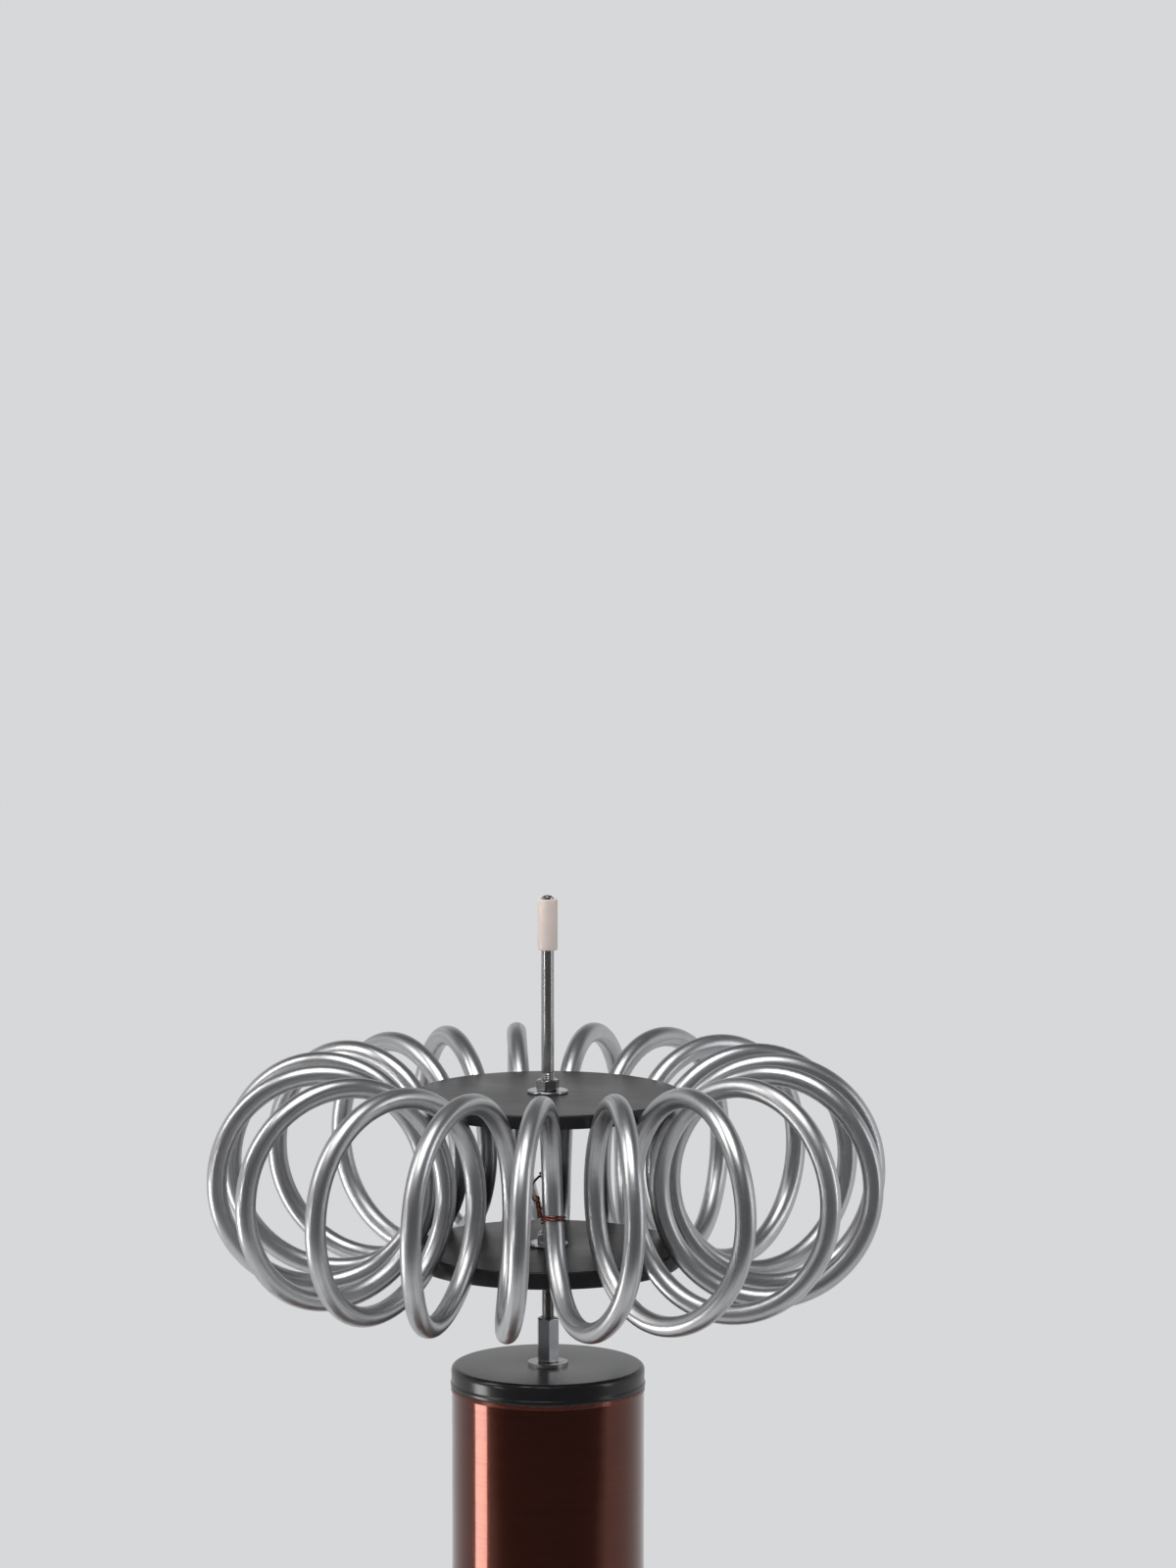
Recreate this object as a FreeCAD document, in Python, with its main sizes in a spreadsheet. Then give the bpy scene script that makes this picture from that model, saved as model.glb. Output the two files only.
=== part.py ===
import FreeCAD, Part
import math
import os
import re
import Sketcher
from FreeCAD import Placement, Rotation, Vector

# A desktop resonant transformer: a tall wound secondary stands on a square stand that holds the
# drive electronics and a flat primary coil, and carries a toroid wound from one aluminium tube.
# Millimetres. +Z is up, the controls face -Y, and the origin is on the table under the coil's axis.

doc = FreeCAD.newDocument("resonant_transformer")

# ---------------------------------------------------------------------------------------------
# Driving dimensions. Each is set once here and read from the sheet by everything it concerns.
# ---------------------------------------------------------------------------------------------
SIZES = {
    # stand
    "foot_radius": 11.0,
    "foot_high": 8.0,
    "foot_recess_radius": 5.0,
    "foot_recess_deep": 4.5,
    "plate_overhang": 15.0,
    "plate_corner": 16.0,
    "base_thick": 4.0,
    "deck_thick": 8.0,
    "coil_margin": 17.5,
    "shell_corner": 8.0,
    "shell_wall": 2.0,
    "shell_high": 84.0,
    "vents": 9,
    "vent_pitch": 14.0,
    "vent_wide": 4.0,
    "vent_high": 44.0,
    "pillar_inset": 15.0,
    "pillar_radius": 5.0,
    # screws, nuts and clearances
    "stand_bolt_radius": 2.0,
    "stand_bolt_grip": 14.0,
    "stand_head_radius": 4.0,
    "stand_head_high": 2.6,
    "stand_key_flats": 2.5,
    "stand_key_deep": 1.4,
    "small_bolt_radius": 1.5,
    "small_head_radius": 2.8,
    "small_head_high": 2.0,
    "small_nut_flats": 5.5,
    "small_nut_high": 2.4,
    "long_end_gap": 2.0,
    "end_gap": 1.0,
    "bolt_clear": 0.2,
    "thread_clear": 0.05,
    "slip_clear": 0.1,
    "seat_clear": 0.3,
    "cut_past": 1.0,
    "lap": 1.0,
    # secondary
    "former_radius": 37.5,
    "former_wall": 2.5,
    "former_long": 300.0,
    "winding_thick": 0.4,
    "winding_start": 12.0,
    "winding_stop": 0.5,
    "socket_flange": 8.5,
    "socket_thick": 6.0,
    "socket_spigot": 15.0,
    "socket_wall": 5.0,
    "socket_screw_inset": 4.0,
    "cap_lip": 0.8,
    "cap_high": 8.2,
    "cap_edge": 1.6,
    "cap_spigot": 12.0,
    "cap_wall": 4.0,
    "cap_plate": 5.0,
    "cap_bolt_head": 3.5,
    "earth_tag_wide": 7.0,
    "earth_tag_long": 9.0,
    "earth_tag_thick": 0.8,
    "inner_lug_radius": 6.4,
    "low_lead_side": 3.6,
    "low_lead_rise": 4.0,
    "low_lead_bend": 1.2,
    "top_lead_inset": 2.0,
    "top_lead_drop": 8.0,
    "top_lead_bend": 2.0,
    # rod, standoff and discs on top of the secondary
    "rod_radius": 2.5,
    "rod_reach": 186.0,
    "rod_engage": 8.0,
    "standoff_flats": 8.0,
    "standoff_long": 17.5,
    "lug_radius": 7.9,
    "lug_thick": 1.2,
    "washer_radius": 8.0,
    "washer_thick": 1.2,
    "nut_flats": 8.0,
    "nut_high": 4.2,
    "disc_inset": 36.3,
    "top_disc_thick": 5.4,
    "low_disc_thick": 6.8,
    "disc_edge": 0.6,
    "sleeve_radius": 3.9,
    "sleeve_long": 20.0,
    "rod_tip_proud": 1.5,
    # toroid wound from one tube
    "toroid_level": 75.0,
    "toroid_radius": 88.8,
    "turn_half_width": 40.6,
    "turn_half_height": 42.6,
    "tube_radius": 4.0,
    "tube_wall": 1.0,
    "toroid_turns": 19,
    "first_turn_angle": -5.8,
    "side_drift_angle": 3.0,
    "side_drift_start": 14.0,
    "third_drift_angle": 1.7,
    "third_drift_start": -139.0,
    "under_drift_angle": 1.35,
    "under_drift_start": 110.0,
    "upright_drift_angle": 0.9,
    "upright_drift_start": 170.0,
    "joint_gap": 0.3,
    "joiner_long": 14.0,
    "bond_wire_radius": 0.5,
    "bond_drop": 7.5,
    "bond_lap_gap": 0.1,
    "bond_sag": 3.0,
    "bond_bend": 10.0,
    # primary
    "coil_gap": 14.0,
    "primary_pitch": 10.0,
    "primary_turns": 5,
    "primary_tube": 2.5,
    "primary_level": 9.0,
    "primary_end_gap": 2.0,
    "comb_thick": 8.0,
    "comb_high": 14.0,
    "comb_overlap": 8.0,
    "comb_foot_long": 6.0,
    "comb_foot_thick": 3.0,
    "clamp_gap": 2.0,
    "clamp_deep": 12.0,
    "clamp_high": 14.0,
    "lead_radius": 1.6,
    "lead_engage": 4.0,
    "grommet_radius": 5.0,
    "grommet_flange": 2.0,
    "grommet_flange_thick": 1.5,
    "terminal_wide": 13.0,
    "terminal_deep": 12.0,
    "terminal_high": 6.0,
    # electronics
    "spacer_high": 8.0,
    "spacer_radius": 3.5,
    "board_thick": 1.6,
    "board_wall_gap": 7.0,
    "board_fan_gap": 15.0,
    "board_side_gap": 48.0,
    "board_hole_inset": 6.0,
    "board_screw_engage": 3.0,
    "sink_inset": 4.0,
    "sink_plate": 6.0,
    "sink_fin_long": 34.0,
    "sink_fin_thick": 1.8,
    "sink_side_gap": 20.0,
    "sink_high": 45.0,
    "sink_fins": 10,
    "devices": 4,
    "device_thick": 5.0,
    "device_wide": 16.0,
    "device_high": 21.0,
    "device_lift": 13.0,
    "device_hole_lift": 30.0,
    "device_leg_wide": 1.4,
    "device_leg_thick": 0.8,
    "device_leg_pitch": 5.4,
    "can_radius": 15.0,
    "can_high": 44.0,
    "can_sink_gap": 17.0,
    "rectifier_side": 28.0,
    "rectifier_high": 10.0,
    "rectifier_can_gap": 5.0,
    "tank_thick": 18.0,
    "tank_long": 40.0,
    "tank_high": 34.0,
    "tank_gap": 4.0,
    "tank_side_gap": 8.0,
    "supply_wide": 30.0,
    "supply_deep": 38.0,
    "supply_high": 28.0,
    "supply_wall_gap": 13.0,
    "supply_tank_gap": 9.5,
    "supply_side_gap": 10.0,
    "chips": 3,
    "chip_wide": 8.0,
    "chip_long": 20.0,
    "chip_high": 4.0,
    "chip_pitch": 14.0,
    "chip_wall_gap": 8.0,
    "chip_side_gap": 23.0,
    "gate_ring_radius": 11.0,
    "gate_ring_bore": 6.0,
    "gate_ring_high": 10.0,
    "feedback_ring_radius": 13.0,
    "feedback_ring_high": 12.0,
    # fan
    "fan_side": 60.0,
    "fan_deep": 20.0,
    "fan_rim": 1.5,
    "fan_hub_radius": 13.0,
    "fan_shaft_radius": 1.5,
    "fan_blade_gap": 1.0,
    "fan_blade_thick": 1.2,
    "fan_blade_chord": 14.0,
    "fan_blade_lean": 50.0,
    "fan_blades": 7,
    "fan_front_gap": 2.0,
    "fan_hub_gap": 1.0,
    "fan_plate": 3.0,
    "fan_spoke_wide": 4.0,
    "fan_hole_inset": 5.0,
    "fan_level": 42.0,
    "guard_wire_radius": 1.0,
    "guard_ring_first": 9.0,
    "guard_ring_pitch": 8.0,
    "guard_rings": 3,
    "guard_stand": 1.6,
    "guard_strip_thick": 1.2,
    "guard_strip_wide": 2.0,
    "guard_eye_radius": 3.4,
    # controls
    "panel_level": 42.0,
    "switch_inset": 35.0,
    "button_place": -52.0,
    "lamp_place": -22.0,
    "jack_place": 8.0,
    "rate_place": 46.0,
    "power_place": 92.0,
    "knob_radius": 11.0,
    "knob_long": 14.0,
    "knob_step": 2.0,
    "knob_face": 2.0,
    "knob_skirt": 5.5,
    "knob_gap": 0.6,
    "knob_hollow": 4.0,
    "knob_flutes": 12,
    "flute_radius": 1.3,
    "flute_inset": 1.4,
    "shaft_radius": 3.0,
    "shaft_tail": 3.0,
    "bush_radius": 4.5,
    "bush_proud": 4.0,
    "bush_nut_flats": 13.0,
    "bush_nut_high": 2.0,
    "control_radius": 8.5,
    "control_deep": 9.0,
    "rocker_high": 17.0,
    "rocker_wide": 11.0,
    "rocker_lean": 10.0,
    "rocker_proud": 5.5,
    "rocker_dish": 2.1,
    "rocker_root": 4.0,
    "rocker_root_half": 5.0,
    "pivot_radius": 1.2,
    "pivot_reach": 1.3,
    "switch_wall": 2.0,
    "switch_bezel_rim": 4.0,
    "switch_bezel_thick": 2.0,
    "switch_deep": 16.0,
    "switch_well_deep": 8.0,
    "switch_side_gap": 0.4,
    "switch_end_gap": 0.8,
    "switch_tab": 7.0,
    "switch_tab_wide": 4.0,
    "switch_tab_thick": 0.8,
    "switch_tab_place": 3.0,
    "cap_stroke": 2.5,
    "button_radius": 4.0,
    "button_wall": 2.0,
    "button_collar": 2.0,
    "button_collar_thick": 2.0,
    "button_proud": 6.0,
    "button_bush_long": 12.0,
    "button_well_deep": 10.0,
    "button_box_side": 13.0,
    "button_box_deep": 8.0,
    "lamp_radius": 2.5,
    "lamp_long": 9.0,
    "lamp_proud": 2.5,
    "lamp_dome": 2.0,
    "lamp_tube_wall": 0.5,
    "lamp_tube_long": 6.0,
    "lamp_flange_radius": 4.5,
    "lamp_flange_thick": 1.5,
    "jack_radius": 1.8,
    "jack_long": 16.0,
    "jack_wall": 2.0,
    "jack_proud": 3.0,
    "jack_case": 12.0,
    "jack_nut_flats": 10.0,
    "jack_nut_high": 1.8,
    "supply_wire_radius": 1.2,
    "wire_room": 12.0,
    "wire_spread": 2.0,
    "wire_tab_rise": 3.0,
    "wire_inlet_drop": 6.0,
    "wire_landing": 14.0,
    "wire_landing_inset": 6.0,
    # mains inlet
    "inlet_place": 60.0,
    "inlet_wide": 28.0,
    "inlet_high": 32.0,
    "inlet_flange_wide": 50.0,
    "inlet_flange_high": 36.0,
    "inlet_flange_thick": 3.0,
    "inlet_deep": 26.0,
    "inlet_screw_inset": 5.0,
    "inlet_screw_long": 12.0,
    "plug_wide": 24.0,
    "plug_high": 17.0,
    "plug_deep": 16.5,
    "plug_lift": 13.5,
    "pin_wide": 2.0,
    "pin_long": 15.0,
    "pin_high": 4.0,
    "pin_pitch": 7.0,
    "pin_lift": 15.5,
    "earth_pin_lift": 4.5,
    "drawer_wide": 20.0,
    "drawer_high": 8.0,
    "drawer_long": 20.0,
    "drawer_proud": 0.2,
    "drawer_lift": 2.2,
    "drawer_end_gap": 0.5,
    "drawer_wall": 2.0,
    "drawer_front": 6.0,
    "fuse_radius": 2.5,
    "fuse_end_gap": 0.5,
}

sheet = doc.addObject("Spreadsheet::Sheet", "sizes")
for row, (alias, number) in enumerate(SIZES.items(), start=1):
    cell = "A%d" % row
    sheet.set(cell, str(number))
    sheet.setAlias(cell, alias)

# Levels and reaches that follow from the driving dimensions, in millimetres from the table or the axis.
LEVELS = {
    "base_top": "foot_high + base_thick",
    "deck_bottom": "base_top + shell_high",
    "deck_top": "deck_bottom + deck_thick",
    "socket_radius": "former_radius + socket_flange",
    "socket_screw_place": "socket_radius - socket_screw_inset",
    "primary_radius": "socket_radius + coil_gap",
    "primary_inner": "primary_radius - primary_pitch / 4",
    "primary_outer": "primary_inner + primary_turns * primary_pitch",
    "clamp_wide": "2 * (primary_pitch - primary_tube - clamp_gap)",
    "comb_inner": "primary_radius - comb_overlap",
    "comb_outer": "primary_radius + primary_turns * primary_pitch + comb_overlap",
    "comb_inner_screw": "comb_inner + comb_foot_long / 2",
    "comb_outer_screw": "comb_outer - comb_foot_long / 2",
    "shell_half": "primary_outer + coil_margin",
    "shell_side": "2 * shell_half",
    "shell_inner": "shell_half - shell_wall",
    "plate_side": "shell_side + 2 * plate_overhang",
    "pillar_place": "shell_inner - pillar_inset",
    "board_bottom": "base_top + spacer_high",
    "board_top": "board_bottom + board_thick",
    "board_left": "fan_deep + board_fan_gap - shell_inner",
    "board_right": "shell_inner - board_wall_gap",
    "board_back": "shell_inner - board_side_gap",
    "board_long": "board_right - board_left",
    "board_middle": "(board_right + board_left) / 2",
    "sink_face": "board_left + sink_inset + sink_fin_long + sink_plate",
    "sink_wide": "2 * (board_back - sink_side_gap)",
    "can_place": "sink_face + device_thick + can_sink_gap + can_radius",
    "can_side": "rectifier_side / 2 + rectifier_can_gap + can_radius",
    "supply_place": "board_right - supply_wall_gap - supply_wide / 2",
    "supply_side": "supply_side_gap + supply_deep / 2 - board_back",
    "tank_place": "supply_place - supply_wide / 2 - supply_tank_gap - tank_thick / 2",
    "tank_side": "board_back - tank_side_gap - tank_long / 2",
    "chip_place": "board_right - chip_wall_gap - chip_wide / 2",
    "chip_side": "board_back - chip_side_gap - chip_long / 2",
    "panel_height": "base_top + panel_level",
    "switch_place": "switch_inset - shell_half",
    "former_bottom": "deck_top + socket_thick",
    "former_top": "former_bottom + former_long",
    "former_bore": "former_radius - former_wall",
    "winding_radius": "former_radius + winding_thick",
    "cap_radius": "former_radius + cap_lip",
    "cap_top": "former_top + cap_high",
    "inner_lug": "cap_top - cap_plate - lug_thick",
    "standoff_bottom": "cap_top + lug_thick",
    "standoff_top": "standoff_bottom + standoff_long",
    "rod_bottom": "standoff_top - rod_engage",
    "rod_top": "cap_top + rod_reach",
    "toroid_mid": "cap_top + toroid_level",
    "disc_radius": "toroid_radius - disc_inset",
    "grip_half": "(turn_half_height + tube_radius + seat_clear)"
                 " * sqrt(1 - (disc_inset / (turn_half_width + tube_radius + seat_clear)) ^ 2)",
    "low_disc_top": "toroid_mid - grip_half",
    "low_disc_bottom": "low_disc_top - low_disc_thick",
    "top_disc_bottom": "toroid_mid + grip_half",
    "top_disc_top": "top_disc_bottom + top_disc_thick",
    "primary_height": "deck_top + primary_level",
    "sleeve_bottom": "rod_top - rod_tip_proud - sleeve_long",
    "fan_height": "base_top + fan_level",
    "fan_bore": "fan_side / 2 - fan_rim",
    "fan_blade_reach": "fan_bore - fan_blade_gap",
    "fan_hole_place": "fan_side / 2 - fan_hole_inset",
    "fan_hub_long": "fan_deep - fan_front_gap - fan_plate - fan_hub_gap",
    "fan_back": "fan_deep - shell_inner",
    "guard_face": "0 - shell_half - guard_strip_thick",
    "inlet_bottom": "panel_height - inlet_high / 2",
    "inlet_face": "shell_half + inlet_flange_thick",
    "inlet_screw_place": "inlet_flange_wide / 2 - inlet_screw_inset",
    "drawer_bottom": "inlet_bottom + drawer_lift",
    "drawer_middle": "inlet_face + drawer_proud - drawer_long / 2",
    "knob_front": "0 - shell_half - knob_gap - knob_long",
}

levels = doc.addObject("App::VarSet", "levels")
WORD = re.compile(r"[a-z][a-z_0-9]*")


def formula(text):
    """Turns the names of sizes and levels in a text into references to the sheet and the levels."""
    def reference(match):
        name = match.group()
        if name in SIZES:
            return "sizes." + name
        if name in LEVELS:
            return "levels." + name
        return name
    return WORD.sub(reference, str(text))


for name, text in LEVELS.items():
    levels.addProperty("App::PropertyFloat", name)
    levels.setExpression(name, formula(text))
doc.recompute()


def mm(name):
    """The present value of a size or a level, for shapes that code works out."""
    return float(getattr(levels, name) if name in LEVELS else sheet.get(name))


# ---------------------------------------------------------------------------------------------
# Building blocks: primitives with bound sizes and places, and bodies turned or cut from plate.
# ---------------------------------------------------------------------------------------------
ALONG_X = Rotation(Vector(0, 1, 0), 90)
ALONG_Y = Rotation(Vector(1, 0, 0), -90)
UPRIGHT = Rotation()
pieces = []


def piece(label, item):
    """Registers an object as a finished piece, under the name of its node."""
    item.Label = label
    pieces.append(item)
    return item


def set_place(item, x, y, z):
    for axis, text in zip("xyz", (x, y, z)):
        item.setExpression(".Placement.Base." + axis, formula(text))


def block(name, wide, deep, high, x=0, y=0, z=0):
    """A box centred on x and y, standing on z."""
    item = doc.addObject("Part::Box", name)
    for field, text in (("Length", wide), ("Width", deep), ("Height", high)):
        item.setExpression(field, formula(text))
    set_place(item, "%s - (%s) / 2" % (x, wide), "%s - (%s) / 2" % (y, deep), z)
    return item


def round_bar(name, radius, long, x=0, y=0, z=0, turn=UPRIGHT):
    """A cylinder that starts at the given point and runs along the turned Z axis."""
    item = doc.addObject("Part::Cylinder", name)
    item.setExpression("Radius", formula(radius))
    item.setExpression("Height", formula(long))
    item.Placement = Placement(Vector(), turn)
    set_place(item, x, y, z)
    return item


def hex_bar(name, flats, long, x=0, y=0, z=0, turn=UPRIGHT):
    """A six-sided bar, measured across its flats."""
    item = doc.addObject("Part::Prism", name)
    item.Polygon = 6
    item.setExpression("Circumradius", formula("(%s) / sqrt(3)" % flats))
    item.setExpression("Height", formula(long))
    item.Placement = Placement(Vector(), turn)
    set_place(item, x, y, z)
    return item


def join(name, parts):
    item = doc.addObject("Part::MultiFuse", name)
    item.Shapes = parts
    return item


def group(name, parts):
    """Separate solids of one kind, kept together in one object."""
    item = doc.addObject("Part::Compound", name)
    item.Links = parts
    return item


def cut(name, base, tools):
    item = doc.addObject("Part::Cut", name)
    item.Base = base
    item.Tool = tools[0] if len(tools) == 1 else group(name + "_tools", tools)
    return item


def tube(name, outer, inner, long, x=0, y=0, z=0, turn=UPRIGHT):
    """A round tube or ring."""
    wall = round_bar(name + "_outside", outer, long, x, y, z, turn)
    bore = round_bar(name + "_bore", inner, long, x, y, z, turn)
    return cut(name, wall, [bore])


def small_screw(name, long, seat, axis, sense):
    """A small screw: its head stands on the seat, its shank runs along the axis in the given sense."""
    head_at, shank_at = dict(zip("xyz", seat)), dict(zip("xyz", seat))
    if sense > 0:
        head_at[axis] = "%s - small_head_high" % head_at[axis]
    else:
        shank_at[axis] = "%s - (%s)" % (shank_at[axis], long)
    turn = {"x": ALONG_X, "y": ALONG_Y, "z": UPRIGHT}[axis]
    head = round_bar(name + "_head", "small_head_radius", "small_head_high", *head_at.values(), turn)
    shank = round_bar(name + "_shank", "small_bolt_radius - thread_clear", long, *shank_at.values(), turn)
    return join(name, [head, shank])


def ring_nut(name, flats, high, bore, x, y, z, turn=UPRIGHT):
    """A hexagon nut with its bore, standing on its start point."""
    blank = hex_bar(name + "_blank", flats, high, x, y, z, turn)
    return cut(name, blank, [round_bar(name + "_bore", bore, high, x, y, z, turn)])


def plane(body, role):
    return next(feature for feature in body.Origin.OriginFeatures if feature.Role == role)


def new_sketch(body, role, name):
    sketch = body.newObject("Sketcher::SketchObject", name)
    sketch.AttachmentSupport = (plane(body, role), [""])
    sketch.MapMode = "FlatFace"
    return sketch


def pin_point(sketch, geometry, point, x, y):
    """Binds the two coordinates of a point of the sketch to formulas."""
    for kind, text in (("DistanceX", x), ("DistanceY", y)):
        index = sketch.addConstraint(Sketcher.Constraint(kind, -1, 1, geometry, point, 1.0))
        sketch.setExpression("Constraints[%d]" % index, formula(text))


def outline(body, role, name, corners):
    """A closed sketch with straight sides through the given corners, each bound to formulas."""
    sketch = new_sketch(body, role, name)
    count = len(corners)
    start = []
    for index in range(count):
        angle = 2 * math.pi * index / count
        start.append(Vector(50 + 20 * math.cos(angle), 50 + 20 * math.sin(angle), 0))
    for index in range(count):
        sketch.addGeometry(Part.LineSegment(start[index], start[(index + 1) % count]))
    for index in range(count):
        follower = (index + 1) % count
        sketch.addConstraint(Sketcher.Constraint("Coincident", index, 2, follower, 1))
    for index, (x, y) in enumerate(corners):
        pin_point(sketch, index, 1, x, y)
    return sketch


def turned(label, corners, bottom="0"):
    """A body of revolution about Z; corners are (radius, height) pairs of half its section."""
    body = doc.addObject("PartDesign::Body", label)
    sketch = outline(body, "XZ_Plane", label + "_section", corners)
    solid = body.newObject("PartDesign::Revolution", label + "_turning")
    solid.Profile = sketch
    solid.ReferenceAxis = (sketch, ["V_Axis"])
    solid.Angle = 360
    set_place(body, "0", "0", bottom)
    return piece(label, body)


def drill(body, name, holes, floor=None):
    """Round holes upwards from the body's XY plane, through all or to a stated depth."""
    sketch = new_sketch(body, "XY_Plane", name + "_holes")
    for index, (x, y, radius) in enumerate(holes):
        centre = Vector(10 + 10 * index, 10, 0)
        sketch.addGeometry(Part.Circle(centre, Vector(0, 0, 1), 1.0))
        pin_point(sketch, index, 3, x, y)
        size = sketch.addConstraint(Sketcher.Constraint("Radius", index, 1.0))
        sketch.setExpression("Constraints[%d]" % size, formula(radius))
    pocket = body.newObject("PartDesign::Pocket", name + "_cut")
    pocket.Profile = sketch
    pocket.Reversed = True
    if floor is None:
        pocket.Type = 1
    else:
        pocket.setExpression("Length", formula(floor))
    return pocket


def upright_edges(shape):
    """Names of the straight edges that run parallel to Z."""
    names = []
    for index, edge in enumerate(shape.Edges, start=1):
        if isinstance(edge.Curve, Part.Line) and abs(edge.tangentAt(edge.FirstParameter).z) > 0.99:
            names.append("Edge%d" % index)
    return names


def circle_edges(shape, height, radius):
    """Names of the full circles of a given radius at a given height."""
    names = []
    for index, edge in enumerate(shape.Edges, start=1):
        if isinstance(edge.Curve, Part.Circle) and abs(edge.Curve.Radius - radius) < 0.01:
            if abs(edge.Curve.Center.z - height) < 0.01:
                names.append("Edge%d" % index)
    return names


def rounded_plate(label, side, thick, corner, bottom):
    """A square plate with rounded corners, centred on the axis."""
    body = doc.addObject("PartDesign::Body", label)
    half = "(%s) / 2" % side
    corners = [("-" + half, "-" + half), (half, "-" + half), (half, half), ("-" + half, half)]
    sketch = outline(body, "XY_Plane", label + "_outline", corners)
    pad = body.newObject("PartDesign::Pad", label + "_pad")
    pad.Profile = sketch
    pad.setExpression("Length", formula(thick))
    doc.recompute()
    fillet = body.newObject("PartDesign::Fillet", label + "_corners")
    fillet.Base = (pad, upright_edges(pad.Shape))
    fillet.setExpression("Radius", formula(corner))
    set_place(body, "0", "0", bottom)
    return piece(label, body)


def rim_fillet(body, feature, heights, radius, fillet_radius):
    """Rounds the outer rims of a turned body at the given heights of its own frame."""
    doc.recompute()
    names = []
    for height in heights:
        names += circle_edges(feature.Shape, height, radius)
    fillet = body.newObject("PartDesign::Fillet", feature.Name + "_rims")
    fillet.Base = (feature, names)
    fillet.setExpression("Radius", formula(fillet_radius))
    return fillet


def feature(label, shape):
    """A piece whose shape is worked out by code from the sizes in the sheet."""
    item = doc.addObject("Part::Feature", label)
    item.Shape = shape
    return piece(label, item)


CORNERS = [(-1, -1), (1, -1), (1, 1), (-1, 1)]

# Screws of one thread are gathered here as the pieces they hold are made.
coil_screws = []
board_screws = []
panel_screws = []
panel_nuts = []


def corner_point(distance, signs, shift=0):
    """Formulas of one corner of a centred square of the given half side."""
    return "%s + %d * (%s)" % (shift, signs[0], distance), "%d * (%s)" % (signs[1], distance)


# ---------------------------------------------------------------------------------------------
# Pipes: round sections carried along arcs that meet tangentially.
# ---------------------------------------------------------------------------------------------
def tangent_arc(start, corner, end):
    """The arc from start to end that touches the two lines to the corner between them."""
    middle = (start + end) * 0.5
    rise = (corner - start).getAngle(end - start)
    sagitta = (end - start).Length / 2 * math.tan(rise / 2)
    toward = corner - middle
    return Part.Arc(start, middle + toward.normalize() * sagitta, end).toShape()


def arc_pair(start, start_way, end, end_way):
    """Two arcs from start to end that leave and arrive in the given directions."""
    across = end - start
    ways = start_way + end_way
    bend = 2 * (1 - start_way.dot(end_way))
    along = across.dot(ways)
    reach = (math.sqrt(along * along + bend * across.dot(across)) - along) / bend
    first = start + start_way * reach
    second = end - end_way * reach
    meeting = (first + second) * 0.5
    return [tangent_arc(start, first, meeting), tangent_arc(meeting, second, end)]


def bent_route(points, radius):
    """Straight runs through the points, with each inner corner rounded to the given radius."""
    edges = []
    last = points[0]
    for before, corner, after in zip(points, points[1:], points[2:]):
        back = (before - corner).normalize()
        ahead = (after - corner).normalize()
        reach = radius / math.tan(back.getAngle(ahead) / 2)
        entry = corner + back * reach
        leave = corner + ahead * reach
        edges.append(Part.LineSegment(last, entry).toShape())
        edges.append(tangent_arc(entry, corner, leave))
        last = leave
    edges.append(Part.LineSegment(last, points[-1]).toShape())
    return Part.Wire(edges)


def pipe(route, radius, bore=0.0):
    """A round bar or tube along a route of tangent edges."""
    first = route.Edges[0]
    point = first.valueAt(first.FirstParameter)
    way = first.tangentAt(first.FirstParameter)
    section = Part.Face(Part.Wire([Part.Circle(point, way, radius).toShape()]))
    if bore:
        section = section.cut(Part.Face(Part.Wire([Part.Circle(point, way, bore).toShape()])))
        section = section.Faces[0]
    return route.makePipe(section)


# ---------------------------------------------------------------------------------------------
# Stand: rubber feet, base plate, folded shell, deck, and the pillars that tie them together.
# ---------------------------------------------------------------------------------------------
def make_feet():
    feet = []
    for index, signs in enumerate(CORNERS):
        x, y = corner_point("pillar_place", signs)
        foot = round_bar("foot_%d" % index, "foot_radius", "foot_high", x, y, 0)
        recess = round_bar("foot_recess_%d" % index, "foot_recess_radius", "foot_recess_deep", x, y, 0)
        bore = round_bar("foot_bore_%d" % index, "stand_bolt_radius + bolt_clear", "foot_high", x, y, 0)
        feet.append(cut("foot_cut_%d" % index, foot, [recess, bore]))
    piece("rubber_feet", group("feet", feet))


def make_base_plate():
    body = rounded_plate("base_plate", "plate_side", "base_thick", "plate_corner", "foot_high")
    holes = [corner_point("pillar_place", signs) + ("stand_bolt_radius + bolt_clear",)
             for signs in CORNERS]
    holes += [corner_point_on_board(signs) + ("small_bolt_radius + bolt_clear",) for signs in CORNERS]
    drill(body, "base_plate", holes)


def corner_point_on_board(signs):
    """Formulas of one of the four holes near the corners of the driver board."""
    x = "board_middle + %d * (board_long / 2 - board_hole_inset)" % signs[0]
    y = "%d * (board_back - board_hole_inset)" % signs[1]
    return x, y


def make_pillars():
    pillars = []
    for index, signs in enumerate(CORNERS):
        x, y = corner_point("pillar_place", signs)
        bar = round_bar("pillar_bar_%d" % index, "pillar_radius", "shell_high", x, y, "base_top")
        threads = [
            round_bar("pillar_low_thread_%d" % index, "stand_bolt_radius", "stand_bolt_grip", x, y,
                      "base_top"),
            round_bar("pillar_top_thread_%d" % index, "stand_bolt_radius", "stand_bolt_grip", x, y,
                      "deck_bottom - stand_bolt_grip"),
        ]
        pillars.append(cut("pillar_%d" % index, bar, threads))
    piece("corner_pillars", group("pillars", pillars))


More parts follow.
